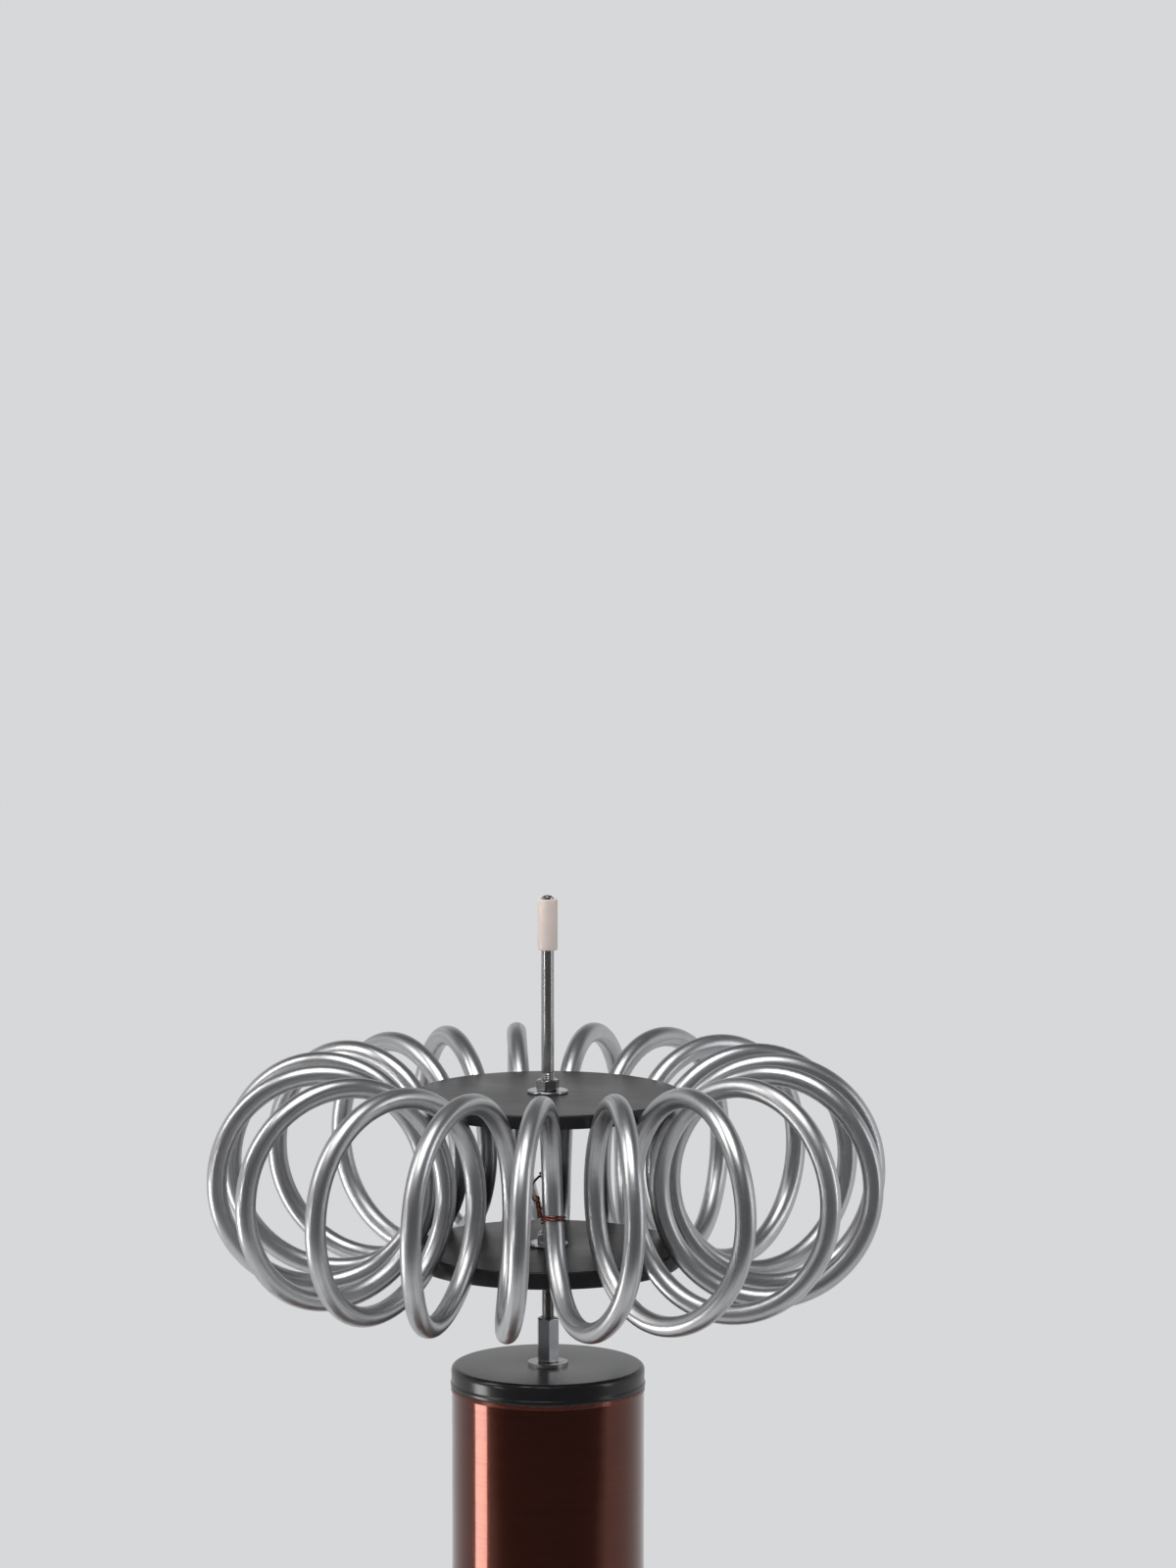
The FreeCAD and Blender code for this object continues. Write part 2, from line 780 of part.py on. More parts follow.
def make_stand_screws():
    shank = "stand_bolt_radius - thread_clear"
    under, above, sockets = [], [], []
    for index, signs in enumerate(CORNERS):
        x, y = corner_point("pillar_place", signs)
        under.append(join("foot_screw_%d" % index, [
            round_bar("foot_screw_head_%d" % index, "stand_head_radius", "stand_head_high", x, y,
                      "foot_recess_deep - stand_head_high"),
            round_bar("foot_screw_shank_%d" % index, shank,
                      "base_top - foot_recess_deep + stand_bolt_grip - long_end_gap", x, y,
                      "foot_recess_deep"),
        ]))
        above.append(join("deck_screw_%d" % index, [
            round_bar("deck_screw_head_%d" % index, "stand_head_radius", "stand_head_high", x, y,
                      "deck_top"),
            round_bar("deck_screw_shank_%d" % index, shank,
                      "deck_thick + stand_bolt_grip - long_end_gap", x, y,
                      "deck_bottom - stand_bolt_grip + long_end_gap"),
        ]))
        sockets.append(hex_bar("deck_screw_socket_%d" % index, "stand_key_flats",
                               "stand_key_deep + cut_past", x, y,
                               "deck_top + stand_head_high - stand_key_deep"))
    deck_screws = cut("deck_screws", group("deck_screw_set", above), sockets)
    piece("stand_screws", group("stand_screw_set", under + [deck_screws]))


def rounded_block(name, side, high, corner, bottom):
    """A square block with rounded upright edges."""
    square = block(name + "_square", side, side, high, 0, 0, bottom)
    doc.recompute()
    rounded = doc.addObject("Part::Fillet", name)
    rounded.Base = square
    rounded.Edges = [(int(edge[4:]), corner, corner) for edge in upright_edges(square.Shape)]
    return rounded


def make_shell():
    rounded = rounded_block("shell_outside", "shell_side", "shell_high", mm("shell_corner"), "base_top")
    inside = rounded_block("shell_inside", "2 * shell_inner", "shell_high",
                           mm("shell_corner") - mm("shell_wall"), "base_top")
    outside = "0 - shell_half - cut_past"
    through = "shell_wall + 2 * cut_past"
    round_holes = {
        "button": "button_radius + button_wall",
        "lamp": "lamp_radius + lamp_tube_wall",
        "jack": "jack_radius + jack_wall",
        "rate": "bush_radius",
        "power": "bush_radius",
    }
    cutters = [
        inside,
        block("switch_hole", "rocker_wide + 2 * switch_wall", through, "rocker_high + 2 * switch_wall",
              "switch_place", "shell_wall / 2 - shell_half", "panel_height - rocker_high / 2 - switch_wall"),
        block("inlet_hole", "inlet_wide + 2 * slip_clear", through, "inlet_high + 2 * slip_clear",
              "inlet_place", "shell_half - shell_wall / 2", "inlet_bottom - slip_clear"),
        round_bar("fan_hole", "fan_bore", through, outside, 0, "fan_height", ALONG_X),
    ]
    for name, radius in round_holes.items():
        cutters.append(round_bar(name + "_hole", radius + " + slip_clear", through, name + "_place",
                                 outside, "panel_height", ALONG_Y))
    for index, signs in enumerate(CORNERS):
        cutters.append(round_bar("fan_screw_hole_%d" % index, "small_bolt_radius + bolt_clear", through,
                                 outside, *fan_corner(signs), ALONG_X))
    for index, side in enumerate((-1, 1)):
        cutters.append(round_bar("inlet_screw_hole_%d" % index, "small_bolt_radius + bolt_clear", through,
                                 "inlet_place + %d * inlet_screw_place" % side, "shell_inner - cut_past",
                                 "panel_height", ALONG_Y))
    vents = int(mm("vents"))
    for index in range(vents):
        cutters.append(block("vent_%d" % index, through, "vent_wide", "vent_high",
                             "shell_half - shell_wall / 2", "(%d) * vent_pitch" % (index - vents // 2),
                             "panel_height - vent_high / 2"))
    piece("housing_shell", cut("shell", rounded, cutters))


def fan_corner(signs):
    """Formulas of the y and z of one of the four screws through the fan's corners."""
    return "%d * fan_hole_place" % signs[0], "fan_height + %d * fan_hole_place" % signs[1]


def make_deck():
    body = rounded_plate("deck_plate", "plate_side", "deck_thick", "plate_corner", "deck_bottom")
    holes = [corner_point("pillar_place", signs) + ("stand_bolt_radius + bolt_clear",)
             for signs in CORNERS]
    holes += [corner_point("socket_screw_place / sqrt(2)", signs) + ("small_bolt_radius",)
              for signs in CORNERS]
    for signs in CORNERS:
        for reach in ("comb_inner_screw", "comb_outer_screw"):
            holes.append(corner_point(reach + " / sqrt(2)", signs) + ("small_bolt_radius",))
    holes += [("primary_inner", "0 - clamp_deep / 2", "grommet_radius"),
              ("primary_outer", "clamp_deep / 2", "grommet_radius")]
    drill(body, "deck_plate", holes)


# ---------------------------------------------------------------------------------------------
# Secondary: socket on the deck, tube former, winding, top cap, and the leads at its two ends.
# ---------------------------------------------------------------------------------------------
def make_socket():
    spigot = "former_bore - slip_clear"
    bore = "former_bore - slip_clear - socket_wall"
    corners = [(bore, "0"), ("socket_radius", "0"), ("socket_radius", "socket_thick"),
               (spigot, "socket_thick"), (spigot, "socket_thick + socket_spigot"),
               (bore, "socket_thick + socket_spigot")]
    body = turned("coil_socket", corners, "deck_top")
    holes = [corner_point("socket_screw_place / sqrt(2)", signs) + ("small_bolt_radius + bolt_clear",)
             for signs in CORNERS]
    holes.append(("0 - socket_screw_place", "0", "small_bolt_radius"))
    drill(body, "coil_socket", holes)


def make_former():
    piece("coil_former", tube("former", "former_radius", "former_bore", "former_long", 0, 0,
                              "former_bottom"))
    piece("secondary_winding", tube("winding", "winding_radius", "former_radius",
                                    "former_long - winding_start - winding_stop", 0, 0,
                                    "former_bottom + winding_start"))


def make_cap():
    """A plug whose flange covers the former's end; its spigot is hollow, under a solid plate."""
    spigot = "former_bore - slip_clear"
    hollow = "former_bore - slip_clear - cap_wall"
    bore = "rod_radius + bolt_clear"
    corners = [(bore, "cap_high - cap_plate"), (hollow, "cap_high - cap_plate"),
               (hollow, "0 - cap_spigot"), (spigot, "0 - cap_spigot"), (spigot, "0"),
               ("cap_radius", "0"), ("cap_radius", "cap_high"), (bore, "cap_high")]
    body = turned("top_cap", corners, "former_top")
    rim_fillet(body, body.Tip, [mm("cap_high")], mm("cap_radius"), "cap_edge")


def make_secondary_fixings():
    for index, signs in enumerate(CORNERS):
        x, y = corner_point("socket_screw_place / sqrt(2)", signs)
        coil_screws.append(small_screw("socket_screw_%d" % index, "socket_thick + deck_thick - end_gap",
                                       (x, y, "former_bottom"), "z", -1))
    tag_x = "0 - socket_screw_place"
    tag = cut("earth_tag", block("earth_tag_plate", "earth_tag_wide", "earth_tag_long",
                                 "earth_tag_thick", tag_x, 0, "former_bottom"),
              [round_bar("earth_tag_hole", "small_bolt_radius + bolt_clear", "earth_tag_thick", tag_x, 0,
                         "former_bottom")])
    coil_screws.append(small_screw("earth_screw", "socket_thick + earth_tag_thick - end_gap",
                                   (tag_x, 0, "former_bottom + earth_tag_thick"), "z", -1))
    piece("cap_bolt", join("cap_bolt_blank", [
        hex_bar("cap_bolt_head", "nut_flats", "cap_bolt_head", 0, 0, "inner_lug - cap_bolt_head"),
        round_bar("cap_bolt_shank", "rod_radius", "cap_plate + 2 * lug_thick + rod_engage", 0, 0,
                  "inner_lug"),
    ]))
    inner = tube("inner_tag", "inner_lug_radius", "rod_radius + bolt_clear", "lug_thick", 0, 0,
                 "inner_lug")
    outer = tube("outer_tag", "lug_radius", "rod_radius + bolt_clear", "lug_thick", 0, 0, "cap_top")
    piece("solder_tags", group("solder_tag_set", [tag, inner, outer]))


def make_secondary_leads():
    """The lower end of the winding to the earth tag, and the upper end inside the former to its lug."""
    wire = mm("winding_thick")
    side = mm("low_lead_side")
    start = mm("former_bottom") + mm("winding_start") + mm("low_lead_rise")
    tag = mm("former_bottom") + mm("earth_tag_thick") + wire
    reach = math.sqrt((mm("winding_radius") + wire) ** 2 - side ** 2)
    points = [Vector(-reach, side, start), Vector(-reach, side, tag),
              Vector(-mm("socket_screw_place"), side, tag)]
    lower = pipe(bent_route(points, mm("low_lead_bend")), wire)
    wall = mm("former_bore") - mm("slip_clear") - mm("cap_wall")
    under_lug = mm("inner_lug") - wire - mm("slip_clear")
    level = mm("former_top") - mm("cap_spigot") - mm("top_lead_drop")
    rise = -wall + mm("top_lead_inset")
    bolt_corner = mm("nut_flats") / math.sqrt(3)
    points = [Vector(-mm("former_bore") + wire + mm("slip_clear"), 0, level), Vector(rise, 0, level),
              Vector(rise, 0, under_lug), Vector(-bolt_corner - mm("seat_clear"), 0, under_lug)]
    upper = pipe(bent_route(points, mm("top_lead_bend")), wire)
    return [lower, upper]


# ---------------------------------------------------------------------------------------------
# Top load: hex standoff, threaded rod with its ceramic tip, two discs, and the toroid they grip.
# ---------------------------------------------------------------------------------------------
def make_top_hardware():
    bar = hex_bar("standoff_bar", "standoff_flats", "standoff_long", 0, 0, "standoff_bottom")
    bore = round_bar("standoff_bore", "rod_radius + thread_clear", "standoff_long", 0, 0,
                     "standoff_bottom")
    piece("hex_standoff", cut("standoff", bar, [bore]))
    piece("discharge_rod", round_bar("rod", "rod_radius", "rod_top - rod_bottom", 0, 0, "rod_bottom"))
    bottoms = {
        "under_low": "low_disc_bottom - washer_thick - nut_high",
        "over_low": "low_disc_top + washer_thick",
        "over_top": "top_disc_top + washer_thick",
    }
    washer_bottoms = {
        "under_low": "low_disc_bottom - washer_thick",
        "over_low": "low_disc_top",
        "over_top": "top_disc_top",
    }
    nuts, washers = [], []
    for place, bottom in bottoms.items():
        nuts.append(ring_nut("nut_" + place, "nut_flats", "nut_high", "rod_radius + thread_clear",
                             0, 0, bottom))
        washers.append(tube("washer_" + place, "washer_radius", "rod_radius + bolt_clear",
                            "washer_thick", 0, 0, washer_bottoms[place]))
    piece("disc_nuts", group("nut_set", nuts))
    piece("disc_washers", group("washer_set", washers))


def make_disc(label, thick, bottom):
    bore = "rod_radius + bolt_clear"
    corners = [(bore, "0"), ("disc_radius", "0"), ("disc_radius", thick), (bore, thick)]
    body = turned(label, corners, bottom)
    rim_fillet(body, body.Tip, [0, mm(thick)], mm("disc_radius"), "disc_edge")


def make_tip():
    bore = "rod_radius + thread_clear"
    corners = [(bore, "0"), ("sleeve_radius", "0"), ("sleeve_radius", "sleeve_long"),
               (bore, "sleeve_long")]
    turned("tip_sleeve", corners, "sleeve_bottom")


def toroid_point(turn):
    """The tube's centreline after a number of turns, counted from an outermost point.

    The tube runs outside, over the top, inside and underneath, and moves on round the axis as it
    goes. A hand-wound coil isn't even: it gains more of its pitch underneath, its strands stand
    more upright between their bends, and its turns crowd a little on one side and in three
    places round the ring."""
    way_round = 2 * math.pi * turn
    even = math.radians(mm("first_turn_angle")) + way_round / mm("toroid_turns")
    angle = even
    for name, phase in (("side_drift", even), ("third_drift", 3 * even), ("under_drift", way_round),
                        ("upright_drift", 2 * way_round)):
        start = math.radians(mm(name + "_start"))
        angle += math.radians(mm(name + "_angle")) * math.sin(phase + start)
    radius = mm("toroid_radius") + mm("turn_half_width") * math.cos(way_round)
    height = mm("toroid_mid") + mm("turn_half_height") * math.sin(way_round)
    return Vector(radius * math.sin(angle), -radius * math.cos(angle), height)


def toroid_way(turn):
    step = 1e-4
    return (toroid_point(turn + step) - toroid_point(turn - step)).normalize()


def toroid_route(first, last, steps):
    """Tangent arcs along the toroid's centreline between two turn counts."""
    edges = []
    for index in range(steps):
        start = first + (last - first) * index / steps
        end = first + (last - first) * (index + 1) / steps
        edges += arc_pair(toroid_point(start), toroid_way(start), toroid_point(end), toroid_way(end))
    return Part.Wire(edges)


def make_toroid():
    """One aluminium tube; its two ends meet underneath at the back, over a plug inside the bore."""
    turns = int(mm("toroid_turns"))
    turn_long = 2 * math.pi * math.sqrt((mm("turn_half_width") ** 2 + mm("turn_half_height") ** 2) / 2)
    half_gap = mm("joint_gap") / 2 / turn_long
    meeting = turns // 2 + 0.75
    route = toroid_route(meeting + half_gap, meeting + turns - half_gap, turns * 4)
    feature("toroid_tube", pipe(route, mm("tube_radius"), mm("tube_radius") - mm("tube_wall")))
    half_plug = mm("joiner_long") / 2 / turn_long
    plug_route = toroid_route(meeting - half_plug, meeting + half_plug, 2)
    plug_radius = mm("tube_radius") - mm("tube_wall") - mm("slip_clear")
    feature("tube_joiner", pipe(plug_route, plug_radius))


def make_bond_wire():
    """Two turns round an inner strand at the front, then across to a loop round the rod."""
    wire = mm("bond_wire_radius")
    turn = 0.5 + mm("bond_drop") / (2 * math.pi * mm("turn_half_height"))
    strand = toroid_point(turn)
    way = toroid_way(turn)
    lap = mm("tube_radius") + wire + mm("bond_lap_gap")
    half_pitch = wire + mm("bond_lap_gap") / 2
    shapes = []
    for shift in (-half_pitch, half_pitch):
        shapes.append(Part.makeTorus(lap, wire, strand + way * shift, way))
    rod_loop = Vector(0, 0, strand.z + mm("bond_drop"))
    shapes.append(Part.makeTorus(mm("rod_radius") + wire, wire, rod_loop, Vector(0, 0, 1)))
    side = Vector(0, 1, 0).cross(way).normalize()
    start = strand + side * lap + way * half_pitch
    end = rod_loop - Vector(mm("rod_radius") + wire, 0, 0)
    sag = Vector(0, 0, -mm("bond_sag"))
    points = [start, start + (end - start) * 0.3 + sag, start + (end - start) * 0.75 + sag, end]
    shapes.append(pipe(bent_route(points, mm("bond_bend")), wire))
    shape = shapes[0]
    for other in shapes[1:]:
        shape = shape.fuse(other)
    feature("bond_wire", shape)


# ---------------------------------------------------------------------------------------------
# Primary: a flat spiral of copper tube threaded through four combs, between two brass clamps.
# ---------------------------------------------------------------------------------------------
def primary_route():
    """Half circles about two centres, half a pitch apart, with a straight tail at each end."""
    pitch = mm("primary_pitch")
    height = mm("primary_height")
    tail = mm("clamp_deep") - mm("primary_end_gap")
    inner = mm("primary_inner")
    edges = [Part.LineSegment(Vector(inner, -tail, height), Vector(inner, 0, height)).toShape()]
    for half in range(2 * int(mm("primary_turns"))):
        radius = mm("primary_radius") + half * pitch / 2
        side = 1 if half % 2 == 0 else -1
        centre = Vector(-side * pitch / 4, 0, height)
        edges.append(Part.Arc(centre + Vector(side * radius, 0, 0), centre + Vector(0, side * radius, 0),
                              centre + Vector(-side * radius, 0, 0)).toShape())
    outer = mm("primary_outer")
    edges.append(Part.LineSegment(Vector(outer, 0, height), Vector(outer, tail, height)).toShape())
    return Part.Wire(edges)


def make_primary():
    route = primary_route()
    feature("primary_coil", pipe(route, mm("primary_tube")))
    clearance = pipe(route, mm("primary_tube") + mm("slip_clear"))
    inner, outer = mm("comb_inner"), mm("comb_outer")
    thick, foot = mm("comb_thick"), mm("comb_foot_thick")
    foot_long = mm("comb_foot_long")
    combs = []
    for index, signs in enumerate(CORNERS):
        comb = Part.makeBox(outer - inner, thick, mm("comb_high"), Vector(inner, -thick / 2, 0))
        for reach in (mm("comb_inner_screw"), mm("comb_outer_screw")):
            comb = comb.cut(Part.makeBox(foot_long, thick, mm("comb_high") - foot,
                                         Vector(reach - foot_long / 2, -thick / 2, foot)))
            comb = comb.cut(Part.makeCylinder(mm("small_bolt_radius") + mm("bolt_clear"), foot,
                                              Vector(reach, 0, 0)))
        comb.rotate(Vector(), Vector(0, 0, 1), math.degrees(math.atan2(signs[1], signs[0])))
        comb.translate(Vector(0, 0, mm("deck_top")))
        combs.append(comb.cut(clearance))
    feature("coil_combs", Part.makeCompound(combs))
    for index, signs in enumerate(CORNERS):
        for reach in ("comb_inner_screw", "comb_outer_screw"):
            x, y = corner_point(reach + " / sqrt(2)", signs)
            coil_screws.append(small_screw("%s_%d" % (reach, index),
                                           "comb_foot_thick + deck_thick - end_gap",
                                           (x, y, "deck_top + comb_foot_thick"), "z", -1))


def make_primary_terminals():
    """A brass clamp on each end of the coil, and its lead down through a grommet in the deck."""
    ends = [("inner", "primary_inner", "0 - clamp_deep / 2"), ("outer", "primary_outer", "clamp_deep / 2")]
    clamps, grommets = [], []
    for name, x, y in ends:
        brass = block(name + "_clamp_block", "clamp_wide", "clamp_deep - end_gap", "clamp_high", x, y,
                      "deck_top")
        bores = [
            round_bar(name + "_clamp_bore", "primary_tube + slip_clear", "clamp_deep", x,
                      "%s - clamp_deep / 2" % y, "primary_height", ALONG_Y),
            round_bar(name + "_clamp_lead_bore", "lead_radius + thread_clear",
                      "primary_level - primary_tube", x, y, "deck_top"),
            round_bar(name + "_clamp_thread", "small_bolt_radius", "clamp_high", x, y, "primary_height"),
        ]
        clamps.append(cut(name + "_clamp", brass, bores))
        coil_screws.append(small_screw(name + "_clamp_screw",
                                       "clamp_high - primary_level - primary_tube - slip_clear",
                                       (x, y, "deck_top + clamp_high"), "z", -1))
        sleeve = join(name + "_grommet_sleeve", [
            round_bar(name + "_grommet_body", "grommet_radius - slip_clear", "deck_thick", x, y,
                      "deck_bottom"),
            round_bar(name + "_grommet_flange", "grommet_radius + grommet_flange",
                      "grommet_flange_thick", x, y, "deck_bottom - grommet_flange_thick"),
        ])
        bore = round_bar(name + "_grommet_bore", "lead_radius + slip_clear",
                         "deck_thick + grommet_flange_thick + cut_past", x, y,
                         "deck_bottom - grommet_flange_thick")
        grommets.append(cut(name + "_grommet", sleeve, [bore]))
    clamps.append(block("board_terminal", "terminal_wide", "terminal_deep", "terminal_high",
                        "primary_outer", "clamp_deep / 2", "board_top"))
    piece("coil_clamps", group("clamp_set", clamps))
    piece("coil_screws", group("coil_screw_set", coil_screws))
    piece("lead_grommets", group("grommet_set", grommets))
    bottom = mm("board_top")
    top = mm("deck_top") + mm("lead_engage")
    rise = mm("terminal_high")
    inner = Part.makeCylinder(mm("lead_radius"), top - bottom,
                              Vector(mm("primary_inner"), -mm("clamp_deep") / 2, bottom))
    outer = Part.makeCylinder(mm("lead_radius"), top - bottom - rise,
                              Vector(mm("primary_outer"), mm("clamp_deep") / 2, bottom + rise))
    return [inner, outer]


# ---------------------------------------------------------------------------------------------
# Electronics on one board inside the stand.
# ---------------------------------------------------------------------------------------------
def make_board():
    plate = block("board_plate", "board_long", "2 * board_back", "board_thick", "board_middle", 0,
                  "board_bottom")
    holes, spacers = [], []
    for index, signs in enumerate(CORNERS):
        x, y = corner_point_on_board(signs)
        holes.append(round_bar("board_hole_%d" % index, "small_bolt_radius + bolt_clear", "board_thick",
                               x, y, "board_bottom"))
        spacers.append(tube("spacer_%d" % index, "spacer_radius", "small_bolt_radius", "spacer_high",
                            x, y, "base_top"))
        board_screws.append(small_screw("board_screw_top_%d" % index, "board_thick + board_screw_engage",
                                        (x, y, "board_top"), "z", -1))
        board_screws.append(small_screw("board_screw_low_%d" % index, "base_thick + board_screw_engage",
                                        (x, y, "foot_high"), "z", 1))
    piece("driver_board", cut("board", plate, holes))
    piece("board_spacers", group("spacer_set", spacers))


def make_heat_sink():
    """A plate that the transistors are screwed to, with fins towards the fan."""
    plate = block("sink_wall", "sink_plate", "sink_wide", "sink_high", "sink_face - sink_plate / 2", 0,
                  "board_top")
    fins, holes, devices = [], [], []
    count = int(mm("sink_fins"))
    for index in range(count):
        y = "(sink_wide - sink_fin_thick) * (%d / %d - 1 / 2)" % (index, count - 1)
        fins.append(block("fin_%d" % index, "sink_fin_long + lap", "sink_fin_thick", "sink_high",
                          "sink_face - sink_plate - (sink_fin_long - lap) / 2", y, "board_top"))
    sink = join("sink_blank", [plate] + fins)
    count = int(mm("devices"))
    hole_height = "board_top + device_hole_lift"
    for index in range(count):
        y = "(%d) * sink_wide / %d" % (2 * index - count + 1, 2 * count)
        x = "sink_face + device_thick / 2"
        holes.append(round_bar("sink_hole_%d" % index, "small_bolt_radius", "sink_plate",
                               "sink_face - sink_plate", y, hole_height, ALONG_X))
        case = block("device_case_%d" % index, "device_thick", "device_wide", "device_high", x, y,
                     "board_top + device_lift")
        legs = [block("device_leg_%d_%d" % (index, leg), "device_leg_thick", "device_leg_wide",
                      "device_lift", x, "%s + (%d) * device_leg_pitch" % (y, leg), "board_top")
                for leg in (-1, 0, 1)]
        bore = round_bar("device_bore_%d" % index, "small_bolt_radius + bolt_clear", "device_thick",
                         "sink_face", y, hole_height, ALONG_X)
        devices.append(cut("device_%d" % index, join("device_blank_%d" % index, [case] + legs), [bore]))
        board_screws.append(small_screw("device_screw_%d" % index,
                                        "sink_plate + device_thick - end_gap",
                                        ("sink_face + device_thick", y, hole_height), "x", -1))
    piece("heat_sink", cut("sink", sink, holes))
    piece("power_transistors", group("device_set", devices))
    piece("board_screws", group("board_screw_set", board_screws))


def make_board_parts():
    cans = [round_bar("can_%d" % index, "can_radius", "can_high", "can_place", "(%d) * can_side" % side,
                      "board_top") for index, side in enumerate((-1, 1))]
    piece("bus_capacitors", group("can_set", cans))
    tanks = [block("tank_%d_%d" % (row, side), "tank_thick", "tank_long", "tank_high",
                   "tank_place - %d * (tank_thick + tank_gap)" % row, "(%d) * tank_side" % side,
                   "board_top") for row in (0, 1) for side in (-1, 1)]
    piece("tank_capacitors", group("tank_set", tanks))
    piece("ring_transformers", group("ring_set", [
        tube("gate_ring", "gate_ring_radius", "gate_ring_bore", "gate_ring_high",
             "(can_place + tank_place) / 2", 0, "board_top"),
        tube("feedback_ring", "feedback_ring_radius", "gate_ring_bore", "feedback_ring_high",
             "primary_inner", "0 - clamp_deep / 2", "board_top")]))
    piece("control_supply", block("supply_block", "supply_wide", "supply_deep", "supply_high",
                                  "supply_place", "supply_side", "board_top"))
    chips = [block("chip_%d" % index, "chip_wide", "chip_long", "chip_high",
                   "chip_place - %d * chip_pitch" % index, "chip_side", "board_top")
             for index in range(int(mm("chips")))]
    rectifier = block("rectifier", "rectifier_side", "rectifier_side", "rectifier_high", "can_place", 0,
                      "board_top")
    piece("board_chips", group("chip_set", chips + [rectifier]))


# ---------------------------------------------------------------------------------------------
# Fan in the left wall, with its rotor and finger guard.
# ---------------------------------------------------------------------------------------------
def make_fan():
    inner_wall = "0 - shell_inner"
    frame = block("fan_block", "fan_deep", "fan_side", "fan_side", "fan_back - fan_deep / 2", 0,
                  "fan_height - fan_side / 2")
    bore = round_bar("fan_duct", "fan_bore", "fan_deep", inner_wall, 0, "fan_height", ALONG_X)
    holes = [round_bar("fan_bolt_hole_%d" % index, "small_bolt_radius + bolt_clear", "fan_deep",
                       inner_wall, *fan_corner(signs), ALONG_X) for index, signs in enumerate(CORNERS)]
    plate = "fan_back - fan_plate"
    across = "2 * fan_bore + 2 * lap"
    spokes = [
        block("fan_spoke_y", "fan_plate", across, "fan_spoke_wide", "fan_back - fan_plate / 2", 0,
              "fan_height - fan_spoke_wide / 2"),
        block("fan_spoke_z", "fan_plate", "fan_spoke_wide", across, "fan_back - fan_plate / 2", 0,
              "fan_height - fan_bore - lap"),
        round_bar("fan_motor_plate", "fan_hub_radius", "fan_plate", plate, 0, "fan_height", ALONG_X),
    ]
    shaft_hole = round_bar("fan_shaft_hole", "fan_shaft_radius + thread_clear", "fan_plate", plate, 0,
                           "fan_height", ALONG_X)
    duct = cut("fan_frame_ring", frame, [bore] + holes)
    piece("fan_frame", cut("fan_frame_all", join("fan_frame_blank", [duct] + spokes), [shaft_hole]))
    make_fan_rotor()
    make_fan_guard()
    for index, signs in enumerate(CORNERS):
        y, z = fan_corner(signs)
        grip = "guard_strip_thick + shell_wall + fan_deep + small_nut_high"
        panel_screws.append(small_screw("fan_screw_%d" % index, grip, ("guard_face", y, z), "x", 1))
        panel_nuts.append(ring_nut("fan_nut_%d" % index, "small_nut_flats", "small_nut_high",
                                   "small_bolt_radius", "fan_back", y, z, ALONG_X))


def make_fan_rotor():
    """A round hub with leaning blades, cut off at the blades' reach, on a shaft through the plate."""
    start = Vector(mm("fan_front_gap") - mm("shell_inner"), 0, mm("fan_height"))
    hub_long = mm("fan_hub_long")
    shaft_long = mm("fan_deep") - mm("fan_front_gap") - mm("end_gap")
    along = Vector(1, 0, 0)
    rotor = Part.makeCylinder(mm("fan_hub_radius"), hub_long, start, along)
    rotor = rotor.fuse(Part.makeCylinder(mm("fan_shaft_radius"), shaft_long, start, along))
    sweep = Part.makeCylinder(mm("fan_blade_reach"), hub_long, start, along)
    thick, chord = mm("fan_blade_thick"), mm("fan_blade_chord")
    root = mm("fan_hub_radius") - mm("lap")
    tall = mm("fan_blade_reach") - root + mm("lap")
    for index in range(int(mm("fan_blades"))):
        blade = Part.makeBox(thick, chord, tall, Vector(-thick / 2, -chord / 2, root))
        blade.rotate(Vector(), Vector(0, 0, 1), mm("fan_blade_lean"))
        blade.rotate(Vector(), along, 360 * index / mm("fan_blades"))
        blade.translate(start + along * (hub_long / 2))
        rotor = rotor.fuse(blade.common(sweep))
    feature("fan_rotor", rotor)


def make_fan_guard():
    """Wire rings on two crossed strips, with an eye under each screw."""
    parts = []
    for index in range(int(mm("guard_rings"))):
        ring = doc.addObject("Part::Torus", "guard_ring_%d" % index)
        ring.setExpression("Radius1", formula("guard_ring_first + %d * guard_ring_pitch" % index))
        ring.setExpression("Radius2", formula("guard_wire_radius"))
        ring.Placement = Placement(Vector(), ALONG_X)
        set_place(ring, "0 - shell_half - guard_stand", 0, "fan_height")
        parts.append(ring)
    half_long = "(fan_hole_place + guard_eye_radius / 2)"
    half_wide = "guard_strip_wide / 2 / sqrt(2)"
    for index, turn in enumerate((1, -1)):
        strip = doc.addObject("Part::Box", "guard_strip_%d" % index)
        strip.setExpression("Length", formula("guard_strip_thick"))
        strip.setExpression("Width", formula("guard_strip_wide"))
        strip.setExpression("Height", formula("2 * %s * sqrt(2)" % half_long))
        strip.Placement = Placement(Vector(), Rotation(Vector(1, 0, 0), 45 * turn))
        set_place(strip, "guard_face", "%d * %s - %s" % (turn, half_long, half_wide),
                  "fan_height - %s - %d * %s" % (half_long, turn, half_wide))
        parts.append(strip)
    bores = []
    for index, signs in enumerate(CORNERS):
        y, z = fan_corner(signs)
        parts.append(round_bar("guard_eye_%d" % index, "guard_eye_radius", "guard_strip_thick",
                               "guard_face", y, z, ALONG_X))
        bores.append(round_bar("guard_bore_%d" % index, "small_bolt_radius + bolt_clear",
                               "guard_strip_thick + 2 * cut_past", "guard_face - cut_past", y, z, ALONG_X))
    piece("fan_guard", cut("guard", join("guard_blank", parts), bores))


